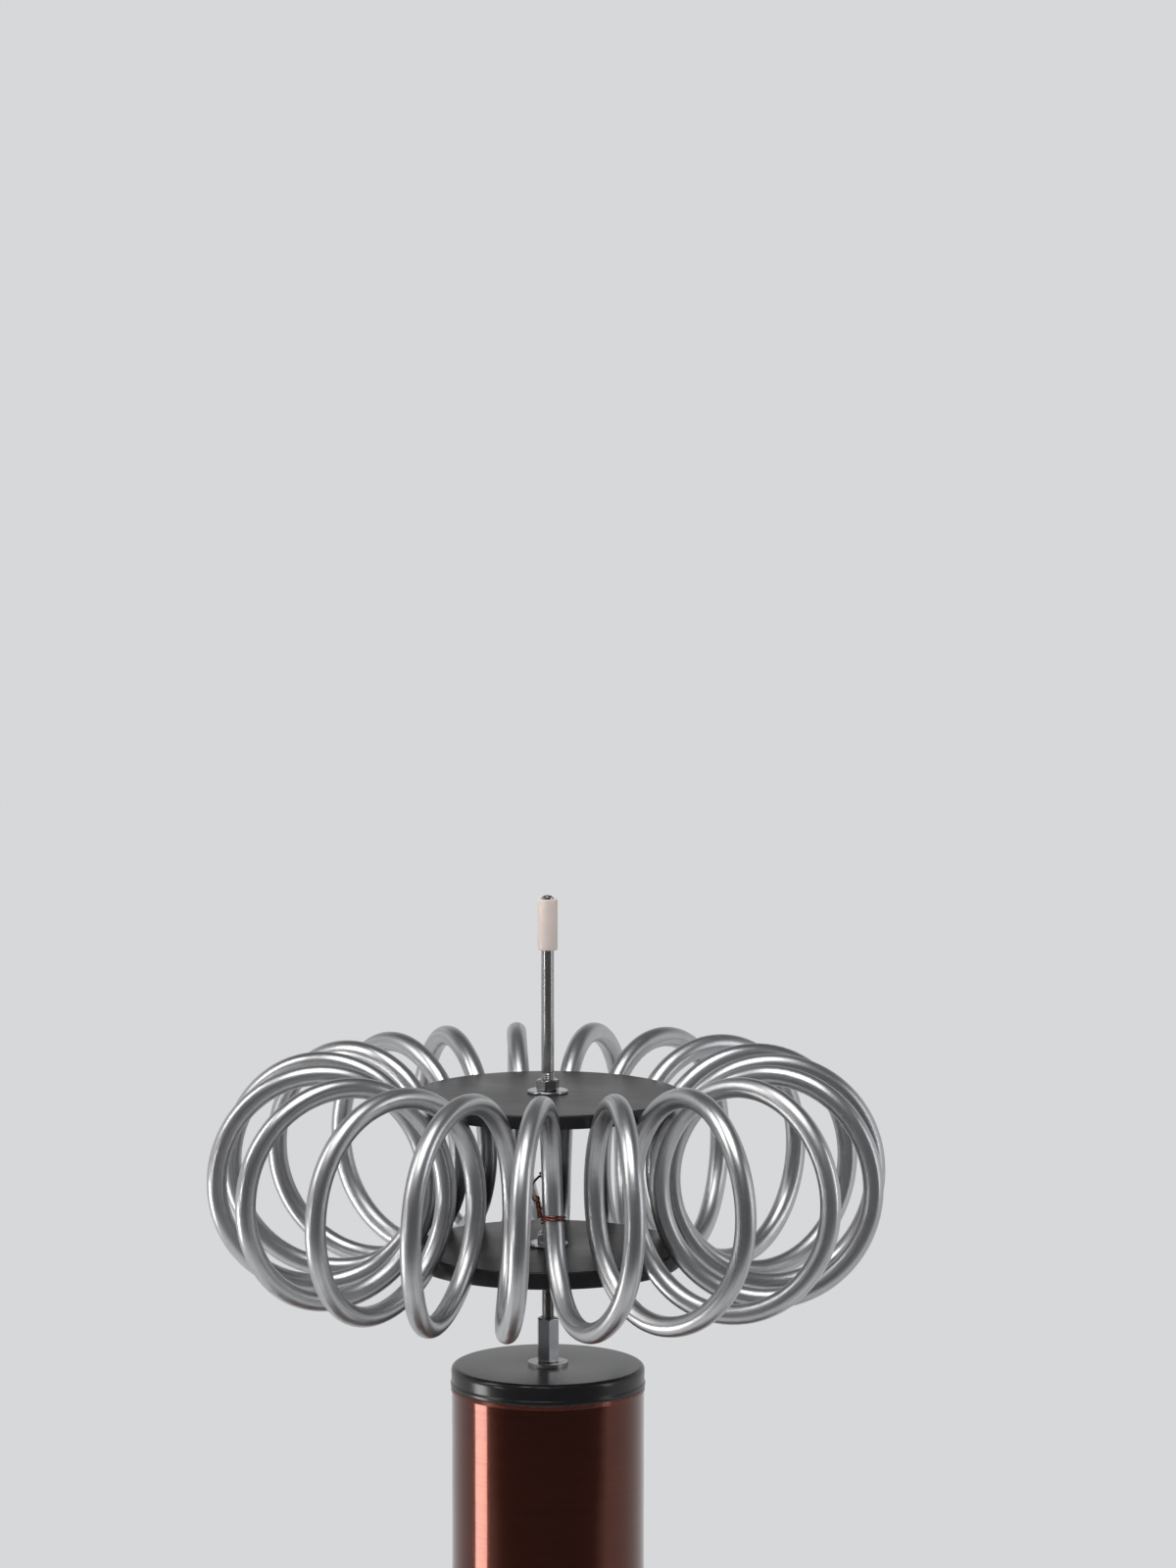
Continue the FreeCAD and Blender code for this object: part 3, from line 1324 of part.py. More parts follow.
# ---------------------------------------------------------------------------------------------
# Front panel: rocker switch, push button, lamp, audio jack and two turning controls.
# ---------------------------------------------------------------------------------------------
PANEL = "0 - shell_half"


def make_switch():
    wide, high = "rocker_wide + 2 * switch_wall", "rocker_high + 2 * switch_wall"
    middle = "panel_height"
    rim_high = "(rocker_high + 2 * switch_bezel_rim)"
    bezel = block("switch_bezel", "rocker_wide + 2 * switch_bezel_rim", "switch_bezel_thick", rim_high,
                  "switch_place", "%s - switch_bezel_thick / 2" % PANEL, "%s - %s / 2" % (middle, rim_high))
    can = block("switch_can", "%s - 2 * slip_clear" % wide, "switch_deep", "%s - 2 * slip_clear" % high,
                "switch_place", "%s + switch_deep / 2" % PANEL, "%s - (%s) / 2 + slip_clear" % (middle, high))
    well = block("switch_well", "rocker_wide + 2 * switch_side_gap", "switch_bezel_thick + switch_well_deep",
                 "rocker_high + 2 * switch_end_gap", "switch_place",
                 "%s + (switch_well_deep - switch_bezel_thick) / 2" % PANEL,
                 "%s - rocker_high / 2 - switch_end_gap" % middle)
    pin_long = "(rocker_wide + 2 * (pivot_reach + slip_clear))"
    pivot = round_bar("switch_pivot_hole", "pivot_radius + thread_clear", pin_long,
                      "switch_place - %s / 2" % pin_long, PANEL, middle, ALONG_X)
    tabs = [block("switch_tab_%d_%d" % (side, rise), "switch_tab_thick", "switch_tab + lap",
                  "switch_tab_wide", "switch_place + %d * switch_tab_place" % side,
                  "%s + switch_deep + (switch_tab - lap) / 2" % PANEL,
                  "%s + %d * wire_tab_rise - switch_tab_wide / 2" % (middle, rise))
            for side in (-1, 1) for rise in (-1, 1)]
    piece("switch_body", cut("switch", join("switch_blank", [bezel, can] + tabs), [well, pivot]))

    body = doc.addObject("PartDesign::Body", "switch_rocker")
    half = "rocker_high / 2"
    front, dish = "0 - rocker_proud", "rocker_dish - rocker_proud"
    corners = [(front, half), (dish, "0"), (front, "0 - " + half), ("0", "0 - " + half),
               ("rocker_root", "0 - rocker_root_half"), ("rocker_root", "rocker_root_half"), ("0", half)]
    sketch = outline(body, "YZ_Plane", "rocker_section", corners)
    pad = body.newObject("PartDesign::Pad", "rocker_pad")
    pad.Profile = sketch
    pad.setExpression("Length", formula("rocker_wide"))
    pad.Midplane = True
    pin_sketch = new_sketch(body, "YZ_Plane", "rocker_pin_circle")
    pin_sketch.addGeometry(Part.Circle(Vector(), Vector(0, 0, 1), 1.0))
    pin_sketch.addConstraint(Sketcher.Constraint("Coincident", 0, 3, -1, 1))
    size = pin_sketch.addConstraint(Sketcher.Constraint("Radius", 0, 1.0))
    pin_sketch.setExpression("Constraints[%d]" % size, formula("pivot_radius"))
    pins = body.newObject("PartDesign::Pad", "rocker_pins")
    pins.Profile = pin_sketch
    pins.setExpression("Length", formula("rocker_wide + 2 * pivot_reach"))
    pins.Midplane = True
    body.Placement = Placement(Vector(), Rotation(Vector(1, 0, 0), -mm("rocker_lean")))
    set_place(body, "switch_place", PANEL, middle)
    piece("switch_rocker", body)


def make_button():
    """A sprung push button in a threaded bush; the cap slides in by its stroke."""
    front = "%s - button_collar_thick" % PANEL
    bush = round_bar("button_bush", "button_radius + button_wall", "button_collar_thick + button_bush_long",
                     "button_place", front, "panel_height", ALONG_Y)
    collar = round_bar("button_collar", "button_radius + button_wall + button_collar",
                       "button_collar_thick", "button_place", front, "panel_height", ALONG_Y)
    box = block("button_box", "button_box_side", "button_box_deep", "button_box_side", "button_place",
                "%s + button_bush_long + button_box_deep / 2" % PANEL,
                "panel_height - button_box_side / 2")
    well = round_bar("button_well", "button_radius + seat_clear",
                     "button_collar_thick + cut_past + button_well_deep", "button_place",
                     front + " - cut_past", "panel_height", ALONG_Y)
    piece("button_body", cut("button", join("button_blank", [bush, collar, box]), [well]))
    cap_long = "button_proud + button_well_deep - cap_stroke - seat_clear"
    piece("button_cap", round_bar("button_plunger", "button_radius", cap_long, "button_place",
                                  "%s - button_proud" % PANEL, "panel_height", ALONG_Y))


def make_lamp_and_jack():
    lens = round_bar("lamp_rod", "lamp_radius", "lamp_long", "lamp_place", "%s - lamp_proud" % PANEL,
                     "panel_height", ALONG_Y)
    doc.recompute()
    front = -mm("shell_half") - mm("lamp_proud")
    dome = doc.addObject("Part::Fillet", "lamp_dome")
    dome.Base = lens
    dome.Edges = [(index, mm("lamp_dome"), mm("lamp_dome"))
                  for index, edge in enumerate(lens.Shape.Edges, start=1)
                  if isinstance(edge.Curve, Part.Circle) and abs(edge.Curve.Center.y - front) < 0.01]
    piece("lamp_lens", dome)
    flange_front = "%s - lamp_flange_thick" % PANEL
    bezel = join("lamp_bezel_blank", [
        round_bar("lamp_bezel_flange", "lamp_flange_radius", "lamp_flange_thick", "lamp_place",
                  flange_front, "panel_height", ALONG_Y),
        round_bar("lamp_bezel_tube", "lamp_radius + lamp_tube_wall", "lamp_tube_long", "lamp_place", PANEL,
                  "panel_height", ALONG_Y)])
    piece("lamp_bezel", cut("lamp_bezel_cut", bezel, [
        round_bar("lamp_bezel_bore", "lamp_radius + thread_clear", "lamp_flange_thick + lamp_tube_long",
                  "lamp_place", flange_front, "panel_height", ALONG_Y)]))
    nose = "%s - jack_proud" % PANEL
    jack = join("jack_blank", [
        round_bar("jack_nose", "jack_radius + jack_wall", "jack_proud + shell_wall + lap", "jack_place",
                  nose, "panel_height", ALONG_Y),
        block("jack_case", "jack_case", "jack_case", "jack_case", "jack_place",
              "%s + shell_wall + jack_case / 2" % PANEL, "panel_height - jack_case / 2")])
    piece("audio_jack", cut("jack", jack, [
        round_bar("jack_bore", "jack_radius", "jack_long", "jack_place", nose, "panel_height",
                  ALONG_Y)]))
    panel_nuts.append(ring_nut("jack_nut", "jack_nut_flats", "jack_nut_high",
                               "jack_radius + jack_wall + thread_clear", "jack_place",
                               "%s - jack_nut_high" % PANEL, "panel_height", ALONG_Y))


def make_controls():
    """Two turning controls: case and bush behind the panel, nut, and a shaft with its fluted knob."""
    cases = []
    for name in ("rate", "power"):
        x = name + "_place"
        case = round_bar(name + "_case", "control_radius", "control_deep", x, "%s + shell_wall" % PANEL,
                         "panel_height", ALONG_Y)
        bush_front = "%s - bush_proud" % PANEL
        bush_long = "bush_proud + shell_wall + control_deep"
        bush = round_bar(name + "_bush", "bush_radius", bush_long, x, bush_front, "panel_height", ALONG_Y)
        bore = round_bar(name + "_shaft_bore", "shaft_radius + thread_clear",
                         "bush_proud + shell_wall + shaft_tail + seat_clear", x, bush_front,
                         "panel_height", ALONG_Y)
        cases.append(cut(name + "_control", join(name + "_control_blank", [case, bush]), [bore]))
        panel_nuts.append(ring_nut(name + "_nut", "bush_nut_flats", "bush_nut_high",
                                   "bush_radius + thread_clear", x, "%s - bush_nut_high" % PANEL,
                                   "panel_height", ALONG_Y))
        shaft_front = "knob_front + knob_face"
        piece(name + "_shaft", round_bar(name + "_shaft_bar", "shaft_radius",
                                         "knob_long + knob_gap - knob_face + shell_wall + shaft_tail",
                                         x, shaft_front, "panel_height", ALONG_Y))
        grip_long = "knob_long - knob_skirt"
        skirt = round_bar(name + "_knob_skirt", "knob_radius", "knob_skirt", x,
                          "knob_front + %s" % grip_long, "panel_height", ALONG_Y)
        grip = round_bar(name + "_knob_grip", "knob_radius - knob_step", grip_long + " + lap", x,
                         "knob_front", "panel_height", ALONG_Y)
        flutes = []
        count = int(mm("knob_flutes"))
        for index in range(count):
            angle = 2 * math.pi * (index + 0.5) / count
            across, up = math.cos(angle), math.sin(angle)
            flutes.append(round_bar("%s_flute_%d" % (name, index), "flute_radius", grip_long,
                                    "%s + (knob_radius - flute_inset) * %.5f" % (x, across), "knob_front",
                                    "panel_height + (knob_radius - flute_inset) * %.5f" % up, ALONG_Y))
        shaft_hole = round_bar(name + "_knob_bore", "shaft_radius + thread_clear",
                               "knob_long - knob_face + thread_clear", x,
                               shaft_front + " - thread_clear", "panel_height", ALONG_Y)
        nut_room = round_bar(name + "_knob_hollow", "knob_radius - knob_step", "knob_hollow", x,
                             "knob_front + knob_long - knob_hollow", "panel_height", ALONG_Y)
        blank = join(name + "_knob_blank", [skirt, grip])
        piece(name + "_knob", cut(name + "_knob_cut", blank, flutes + [shaft_hole, nut_room]))
    piece("control_cases", group("control_set", cases))


# ---------------------------------------------------------------------------------------------
# Mains inlet at the back, with its fuse drawer.
# ---------------------------------------------------------------------------------------------
def make_inlet():
    flange = block("inlet_flange", "inlet_flange_wide", "inlet_flange_thick", "inlet_flange_high",
                   "inlet_place", "shell_half + inlet_flange_thick / 2",
                   "panel_height - inlet_flange_high / 2")
    can = block("inlet_can", "inlet_wide", "inlet_deep", "inlet_high", "inlet_place",
                "shell_half + lap - inlet_deep / 2", "inlet_bottom")
    well_floor = "inlet_face - plug_deep"
    well = block("inlet_well", "plug_wide", "plug_deep + cut_past", "plug_high", "inlet_place",
                 "inlet_face - (plug_deep - cut_past) / 2", "inlet_bottom + plug_lift")
    slot = block("drawer_slot", "drawer_wide + 2 * seat_clear", "drawer_long + drawer_end_gap + cut_past",
                 "drawer_high + 2 * seat_clear", "inlet_place",
                 "inlet_face - (drawer_long + drawer_end_gap - cut_past) / 2", "drawer_bottom - seat_clear")
    holes = [round_bar("inlet_bolt_hole_%d" % index, "small_bolt_radius + bolt_clear",
                       "inlet_flange_thick + 2 * cut_past", "inlet_place + %d * inlet_screw_place" % side,
                       "shell_half - cut_past", "panel_height", ALONG_Y)
             for index, side in enumerate((-1, 1))]
    pins = [block("inlet_pin_%d" % index, "pin_wide", "pin_long", "pin_high",
                  "inlet_place + (%d) * pin_pitch" % side, well_floor + " + pin_long / 2",
                  "inlet_bottom + " + lift)
            for index, (side, lift) in enumerate(((-1, "pin_lift"), (0, "pin_lift + earth_pin_lift"),
                                                  (1, "pin_lift")))]
    piece("mains_inlet", cut("inlet", join("inlet_blank", [flange, can]), [well, slot] + holes))
    piece("inlet_pins", group("inlet_pin_set", pins))
    drawer = block("drawer_block", "drawer_wide", "drawer_long", "drawer_high", "inlet_place",
                   "drawer_middle", "drawer_bottom")
    bay_shift = "drawer_middle + (drawer_wall - drawer_front) / 2"
    fuse_bay = block("drawer_bay", "drawer_wide - 2 * drawer_wall",
                     "drawer_long - drawer_wall - drawer_front", "drawer_high", "inlet_place", bay_shift,
                     "drawer_bottom + drawer_wall")
    piece("fuse_drawer", cut("drawer", drawer, [fuse_bay]))
    fuse_long = "(drawer_wide - 2 * drawer_wall - 2 * fuse_end_gap)"
    piece("fuse", round_bar("fuse_bar", "fuse_radius", fuse_long, "inlet_place - %s / 2" % fuse_long,
                            bay_shift, "drawer_bottom + drawer_wall + fuse_radius", ALONG_X))
    for index, side in enumerate((-1, 1)):
        x = "inlet_place + %d * inlet_screw_place" % side
        panel_screws.append(small_screw("inlet_screw_%d" % index, "inlet_screw_long",
                                        (x, "inlet_face", "panel_height"), "y", -1))
        panel_nuts.append(ring_nut("inlet_nut_%d" % index, "small_nut_flats", "small_nut_high",
                                   "small_bolt_radius", x, "shell_inner - small_nut_high",
                                   "panel_height", ALONG_Y))


def make_supply_wires():
    """Two wires from the inlet round the board to the switch, and two from the switch to the board."""
    wire = mm("supply_wire_radius")
    bend = 3 * wire
    room, spread = mm("wire_room"), mm("wire_spread")
    floor = mm("base_top") + wire + mm("seat_clear")
    tabs_end = -mm("shell_half") + mm("switch_deep") + mm("switch_tab")
    inlet_back = mm("shell_half") + mm("lap") - mm("inlet_deep")
    low = mm("panel_height") - mm("wire_inlet_drop")
    tab_low = mm("panel_height") - mm("wire_tab_rise")
    tab_high = mm("panel_height") + mm("wire_tab_rise")
    shapes = []
    for side in (-1, 1):
        out = mm("inlet_place") + 1.5 * spread * side
        post = mm("switch_place") + mm("switch_tab_place") * side
        lane = mm("board_left") + mm("switch_tab_place") * side
        back = inlet_back - room - spread * side
        front = tabs_end + room
        points = [Vector(out, inlet_back, low), Vector(out, back, low), Vector(out, back, floor),
                  Vector(lane - spread, back, floor), Vector(lane - spread, front, floor),
                  Vector(post, front, tab_low),
                  Vector(post, tabs_end, tab_low)]
        shapes.append(pipe(bent_route(points, bend), wire))
        landing = lane + mm("wire_landing")
        edge = mm("wire_landing_inset") - mm("board_back") - 1.5 * spread * side
        points = [Vector(post, tabs_end, tab_high), Vector(post, edge, tab_high),
                  Vector(landing, edge, tab_high), Vector(landing, edge, mm("board_top"))]
        shapes.append(pipe(bent_route(points, bend), wire))
    feature("supply_wires", Part.makeCompound(shapes))


# ---------------------------------------------------------------------------------------------
# Assembly, from the table up.
# ---------------------------------------------------------------------------------------------
make_feet()
make_base_plate()
make_pillars()
make_shell()
make_deck()
make_stand_screws()
make_socket()
make_former()
make_cap()
make_secondary_fixings()
make_top_hardware()
make_disc("bottom_disc", "low_disc_thick", "low_disc_bottom")
make_disc("top_disc", "top_disc_thick", "top_disc_bottom")
make_tip()
make_toroid()
make_bond_wire()
make_primary()
feature("coil_leads", Part.makeCompound(make_primary_terminals() + make_secondary_leads()))
make_board()
make_heat_sink()
make_board_parts()
make_fan()
make_switch()
make_button()
make_lamp_and_jack()
make_controls()
make_inlet()
piece("panel_screws", group("panel_screw_set", panel_screws))
piece("panel_nuts", group("panel_nut_set", panel_nuts))
make_supply_wires()
doc.recompute()

for item in doc.Objects:
    if "Invalid" in item.State or "Error" in item.State:
        raise RuntimeError("%s failed: %s" % (item.Name, item.State))
os.makedirs("parts", exist_ok=True)
for item in pieces:
    if item.Shape.isNull() or not item.Shape.isValid():
        raise RuntimeError("%s has no valid shape" % item.Label)
    item.Shape.exportStep("parts/%s.step" % item.Label)
    print("%-22s %2d solids  %10.1f mm3" % (item.Label, len(item.Shape.Solids), item.Shape.Volume))
print("%d pieces" % len(pieces))
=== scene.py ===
"""A desktop resonant transformer, dressed piece by piece on its solid model. Metres, +Z up."""

import math

import bmesh
import bpy
import numpy as np
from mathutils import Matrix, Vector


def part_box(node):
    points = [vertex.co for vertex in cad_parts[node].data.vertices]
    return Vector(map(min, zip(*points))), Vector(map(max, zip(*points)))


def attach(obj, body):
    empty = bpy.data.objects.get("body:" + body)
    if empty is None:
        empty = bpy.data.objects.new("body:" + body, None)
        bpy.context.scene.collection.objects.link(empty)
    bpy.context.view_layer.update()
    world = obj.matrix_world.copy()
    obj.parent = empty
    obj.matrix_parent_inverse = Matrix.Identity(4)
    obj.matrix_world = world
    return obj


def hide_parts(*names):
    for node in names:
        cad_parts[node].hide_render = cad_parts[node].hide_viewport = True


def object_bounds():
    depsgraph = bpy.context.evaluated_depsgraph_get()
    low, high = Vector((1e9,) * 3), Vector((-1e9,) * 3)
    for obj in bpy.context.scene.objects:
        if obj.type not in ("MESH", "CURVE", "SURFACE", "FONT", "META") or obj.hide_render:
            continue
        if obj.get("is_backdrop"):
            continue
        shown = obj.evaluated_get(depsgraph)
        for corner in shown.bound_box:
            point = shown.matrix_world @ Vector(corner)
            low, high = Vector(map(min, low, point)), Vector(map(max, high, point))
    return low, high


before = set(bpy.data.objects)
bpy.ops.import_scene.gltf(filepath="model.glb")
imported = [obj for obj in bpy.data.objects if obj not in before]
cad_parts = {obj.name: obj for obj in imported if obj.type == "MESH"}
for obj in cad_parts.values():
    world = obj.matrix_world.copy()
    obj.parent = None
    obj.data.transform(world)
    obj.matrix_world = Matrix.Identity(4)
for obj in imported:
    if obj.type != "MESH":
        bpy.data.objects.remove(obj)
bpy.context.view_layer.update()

# --------
# Room. A pale table top that runs out into an even background. A low strip lamp on the left draws
# the highlight down the winding and a small one the rod's; a window high on the left, a broad lamp
# overhead and a weak one on the right light the rest. Metal mirrors a dark side behind the camera.
scene = bpy.context.scene
scene.view_settings.view_transform = "Standard"
BACKDROP = (0.68, 0.685, 0.695)
CEILING = (0.13, 0.132, 0.138)
OUT_OF_SIGHT = (0.36, 0.363, 0.37)
WARM = (1.0, 0.985, 0.96)

camera = bpy.data.objects.new("camera", bpy.data.cameras.new("camera"))
camera.data.sensor_width = 36.0
camera.data.lens = 116.9
camera.data.clip_end = 200.0
camera.location = (0.0, -1.9651, 0.8639)
camera.rotation_euler = (math.radians(90.0 - 6.281), 0.0, math.radians(-0.459))
scene.collection.objects.link(camera)
scene.camera = camera


def lamp(name, wide, high, power, place, aim_high, tint=(1.0, 1.0, 1.0), spread=180.0):
    """A rectangular soft lamp that faces the upright axis at a height; its cone is in degrees."""
    light = bpy.data.lights.new(name, "AREA")
    light.shape = "RECTANGLE"
    light.size, light.size_y, light.energy, light.color = wide, high, power, tint
    light.spread = math.radians(spread)
    item = bpy.data.objects.new(name, light)
    item.location = place
    flat, drop = math.hypot(place[0], place[1]), place[2] - aim_high
    item.rotation_euler = (math.atan2(flat, drop), 0.0, math.atan2(place[0], -place[1]))
    item.visible_camera = False
    scene.collection.objects.link(item)


lamp("strip", 0.28, 0.30, 0.73, (-0.85, -0.057, 0.155), 0.155, WARM, 90.0)
lamp("rod_strip", 0.14, 0.16, 0.20, (-1.04, -0.60, 0.43), 0.50, WARM, 90.0)
lamp("window", 0.6, 1.2, 13.0, (-1.75, -0.3, 1.68), 0.50, WARM)
lamp("overhead", 1.5, 1.5, 36.0, (-0.3, -0.9, 2.6), 0.30)
lamp("side_fill", 0.35, 1.6, 5.0, (1.9, -0.5, 0.9), 0.35, (0.96, 0.98, 1.0))


def node(tree, kind, inputs=(), **settings):
    """A shader node with its settings; each named input is linked to a socket or given a value."""
    made = tree.nodes.new("ShaderNode" + kind)
    for field, value in settings.items():
        setattr(made, field, value)
    for key, value in dict(inputs).items():
        if isinstance(value, bpy.types.NodeSocket):
            tree.links.new(value, made.inputs[key])
        else:
            made.inputs[key].default_value = value
    return made


def maths(operation, *values, clamp=False):
    """The result of an operation on two or three numbers, the first one from a socket."""
    return node(values[0].id_data, "Math", dict(enumerate(values)), operation=operation,
                use_clamp=clamp).outputs[0]


def mixed(share, low, high):
    """A colour between two others, by a mask; a fixed one has three numbers."""
    low, high = ((*value, 1.0) if isinstance(value, tuple) else value for value in (low, high))
    ends = {"Factor": share, 6: low, 7: high}
    return node(share.id_data, "Mix", ends, data_type="RGBA").outputs[2]


def spot(tree):
    """The place on the object, in metres."""
    return node(tree, "TexCoord").outputs["Object"]


def seen_directly(tree):
    """1 for rays that see the background itself, also in metal or through glass."""
    path = node(tree, "LightPath").outputs
    seen = maths("MAXIMUM", path["Is Camera Ray"], path["Is Glossy Ray"])
    return maths("MAXIMUM", seen, path["Is Transmission Ray"])


def ranged(value, start, stop, low=0.0, high=1.0, way="LINEAR"):
    """A number between low and high, as the value goes from start to stop."""
    ends = {"Value": value, "From Min": start, "From Max": stop, "To Min": low, "To Max": high}
    return node(value.id_data, "MapRange", ends, interpolation_type=way).outputs[0]


def finish(name, color, roughness, **sockets):
    """A material with its Principled shader set; returns its tree and shader too."""
    material = bpy.data.materials.new(name)
    material.use_nodes = True
    shader = material.node_tree.nodes["Principled BSDF"]
    sockets.update(Base_Color=(*color, 1.0), Roughness=roughness)
    for label, value in sockets.items():
        shader.inputs[label.replace("_", " ")].default_value = value
    return material, material.node_tree, shader


def mirrored_room(toward):
    """1 on the unlit side of the room, where metal and varnish mirror it; the camera sees none."""
    camera_ray = node(toward.id_data, "LightPath").outputs["Is Camera Ray"]
    return maths("SUBTRACT", toward, camera_ray, clamp=True)


scene.world = bpy.data.worlds.new("room")
scene.world.use_nodes = True
tree = scene.world.node_tree
way = node(tree, "SeparateXYZ", {0: node(tree, "TexCoord").outputs["Generated"]}).outputs
unlit = mirrored_room(ranged(way["Y"], -0.05, -0.60, way="SMOOTHSTEP"))
rise = maths("MAXIMUM", ranged(way["Z"], 0.25, 0.70, way="SMOOTHSTEP"), unlit)
sky = mixed(seen_directly(tree), OUT_OF_SIGHT, mixed(rise, BACKDROP, CEILING))
tree.links.new(sky, tree.nodes["Background"].inputs["Color"])

STEPS_ROUND = 97
ring = np.array([0.0, 0.4, 0.8, 1.2, 2.0, 4.0, 8.0, 20.0, 60.0])[:, None, None]
angle = np.linspace(0.0, 2.0 * math.pi, STEPS_ROUND)[None, :, None]
flat = np.concatenate([ring * np.cos(angle), ring * np.sin(angle), 0.0 * ring * angle], axis=2)
index = np.arange(len(flat) * STEPS_ROUND).reshape(-1, STEPS_ROUND)
quads = np.stack([index[:-1, :-1], index[1:, :-1], index[1:, 1:], index[:-1, 1:]], -1)
floor_mesh = bpy.data.meshes.new("table_top")
floor_mesh.from_pydata(flat.reshape(-1, 3), [], quads.reshape(-1, 4).tolist())
floor = bpy.data.objects.new("table_top", floor_mesh)
scene.collection.objects.link(floor)
floor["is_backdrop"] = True
table_paint, tree, paint = finish("table_paint", (0.77, 0.775, 0.785), 0.75,
                                  Specular_IOR_Level=0.25)
place = spot(tree)
away = node(tree, "VectorMath", {0: place}, operation="LENGTH").outputs["Value"]
blank = maths("MULTIPLY", ranged(away, 0.30, 0.85, way="SMOOTHSTEP"), seen_directly(tree))
forward = node(tree, "SeparateXYZ", {0: place}).outputs["Y"]
unlit = mirrored_room(ranged(forward, -0.35, -0.85, way="SMOOTHSTEP"))
glow = node(tree, "Emission", {"Color": mixed(unlit, BACKDROP, CEILING)})
blend = node(tree, "MixShader", {0: blank, 1: paint.outputs[0], 2: glow.outputs[0]})
tree.links.new(blend.outputs[0], tree.nodes["Material Output"].inputs["Surface"])
floor_mesh.materials.append(table_paint)

# --------
# Rubber feet. Four moulded feet with a soft edge and a slight taper; a screw in a deep recess
# draws each one up against the base plate and into the pillar above it.
MM = 0.001
FOUR = ((-1, -1), (1, -1), (1, 1), (-1, 1))


def eased(corners, ease, steps=5, closed=True):
    """An outline with each corner c eased: (1-t)^2 a + 2t(1-t) c + t^2 b, where a and b lie on the
    sides before and after it, at the given distance."""
    corners = np.array(corners, float)
    sides = [np.roll(corners, step, 0) - corners for step in (1, -1)]
    sizes = [np.linalg.norm(side, axis=1, keepdims=True) for side in sides]
    reach = np.minimum(np.resize(ease, len(corners))[:, None], 0.49 * np.minimum(*sizes))
    start, stop = ((corners + side / size * reach)[:, None] for side, size in zip(sides, sizes))
    t = np.linspace(0.0, 1.0, steps)[None, :, None]
    arcs = (1 - t) ** 2 * start + 2 * t * (1 - t) * corners[:, None] + t ** 2 * stop
    if closed:
        return arcs.reshape(-1, 2)
    return np.vstack([corners[:1], arcs[1:-1].reshape(-1, 2), corners[-1:]])


def surface(points, loop=False):
    """A closed skin over a grid of points: columns run round it, and rows run along it, back to
    the first row or between two flat ends. U is the share of the way round, and V the distance
    along the first column."""
    rows, columns = points.shape[:2]
    index = np.arange(rows * columns).reshape(rows, columns)
    index = np.hstack([index, index[:, :1]])
    spine = points[:, 0]
    if loop:
        index = np.vstack([index, index[:1]])
        spine = np.vstack([spine, spine[:1]])
    along = np.concatenate([[0.0], np.cumsum(np.linalg.norm(np.diff(spine, axis=0), axis=1))])
    uv = np.stack(np.meshgrid(np.linspace(0.0, 1.0, columns + 1), along), -1)
    first, last = slice(None, -1), slice(1, None)
    corners = [(first, first), (first, last), (last, last), (last, first)]
    loops = np.stack([index[corner] for corner in corners], -1).reshape(-1)
    uvs = np.stack([uv[corner] for corner in corners], 2).reshape(-1, 2)
    sizes = np.full(len(loops) // 4, 4)
    if not loop:
        loops = np.concatenate([loops, index[0, :-1], index[-1, :-1]])
        uvs = np.vstack([uvs, uv[0, :-1], uv[-1, :-1]])
        sizes = np.append(sizes, [columns, columns])
    return points.reshape(-1, 3), loops, sizes, uvs


def spread(sides):
    """Evenly spread angles over a full turn."""
    return np.arange(sides) * 2.0 * math.pi / sides


def around(reach, height, sides, x=0.0, y=0.0, start=0.0):
    """Rows of points round an upright axis, by their reach from it and their height."""
    angle = start + spread(sides)
    across, forward = x + reach * np.cos(angle), y + reach * np.sin(angle)
    return np.stack([across, forward, height + 0.0 * angle], -1)


def turned(outline, x=0.0, y=0.0, sides=96, solid=False):
    """A profile of radii and heights carried round an upright axis; a solid one ends on it."""
    outline = np.asarray(outline, float)
    return surface(around(outline[:, :1], outline[:, 1:], sides, x, y), loop=not solid)


def lathed(corners, ease, steps=5, sides=96, solid=False, x=0.0, y=0.0):
    """A piece turned to an outline with eased corners, all in millimetres."""
    return turned(eased(corners, ease, steps, closed=not solid) * MM, x * MM, y * MM, sides, solid)


def piece(name, forms, material, slot, *nodes, body="stand", crease=32.0):
    """One mesh over all the skins, its faces outwards and its sharper edges creased, that rides on
    its body and stands for the named solids."""
    starts = np.cumsum([0] + [len(form[0]) for form in forms[:-1]])
    loops = np.concatenate([form[1] + start for form, start in zip(forms, starts)])
    points, sizes, uvs = (np.concatenate([form[part] for form in forms]) for part in (0, 2, 3))
    mesh = bpy.data.meshes.new(name)
    mesh.vertices.add(len(points))
    mesh.vertices.foreach_set("co", points.ravel())
    mesh.loops.add(len(loops))
    mesh.loops.foreach_set("vertex_index", loops)
    mesh.polygons.add(len(sizes))
    mesh.polygons.foreach_set("loop_start", np.cumsum(sizes) - sizes)
    mesh.update(calc_edges=True)
    mesh.uv_layers.new(name="run").data.foreach_set("uv", uvs.ravel())
    form = bmesh.new()
    form.from_mesh(mesh)
    bmesh.ops.recalc_face_normals(form, faces=form.faces)
    form.to_mesh(mesh)
    form.free()
    mesh.shade_smooth()
    mesh.set_sharp_from_angle(angle=math.radians(crease))
    return hang(bpy.data.objects.new(name, mesh), material, body, slot, *nodes)


def hang(item, material, body, slot, *nodes):
    """Puts an object in the scene, on its body, with its material and the solids it stands for."""
    item.data.materials.clear()
    item.data.materials.append(material)
    scene.collection.objects.link(item)
    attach(item, body)
    if nodes:
        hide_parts(*nodes)
    return item


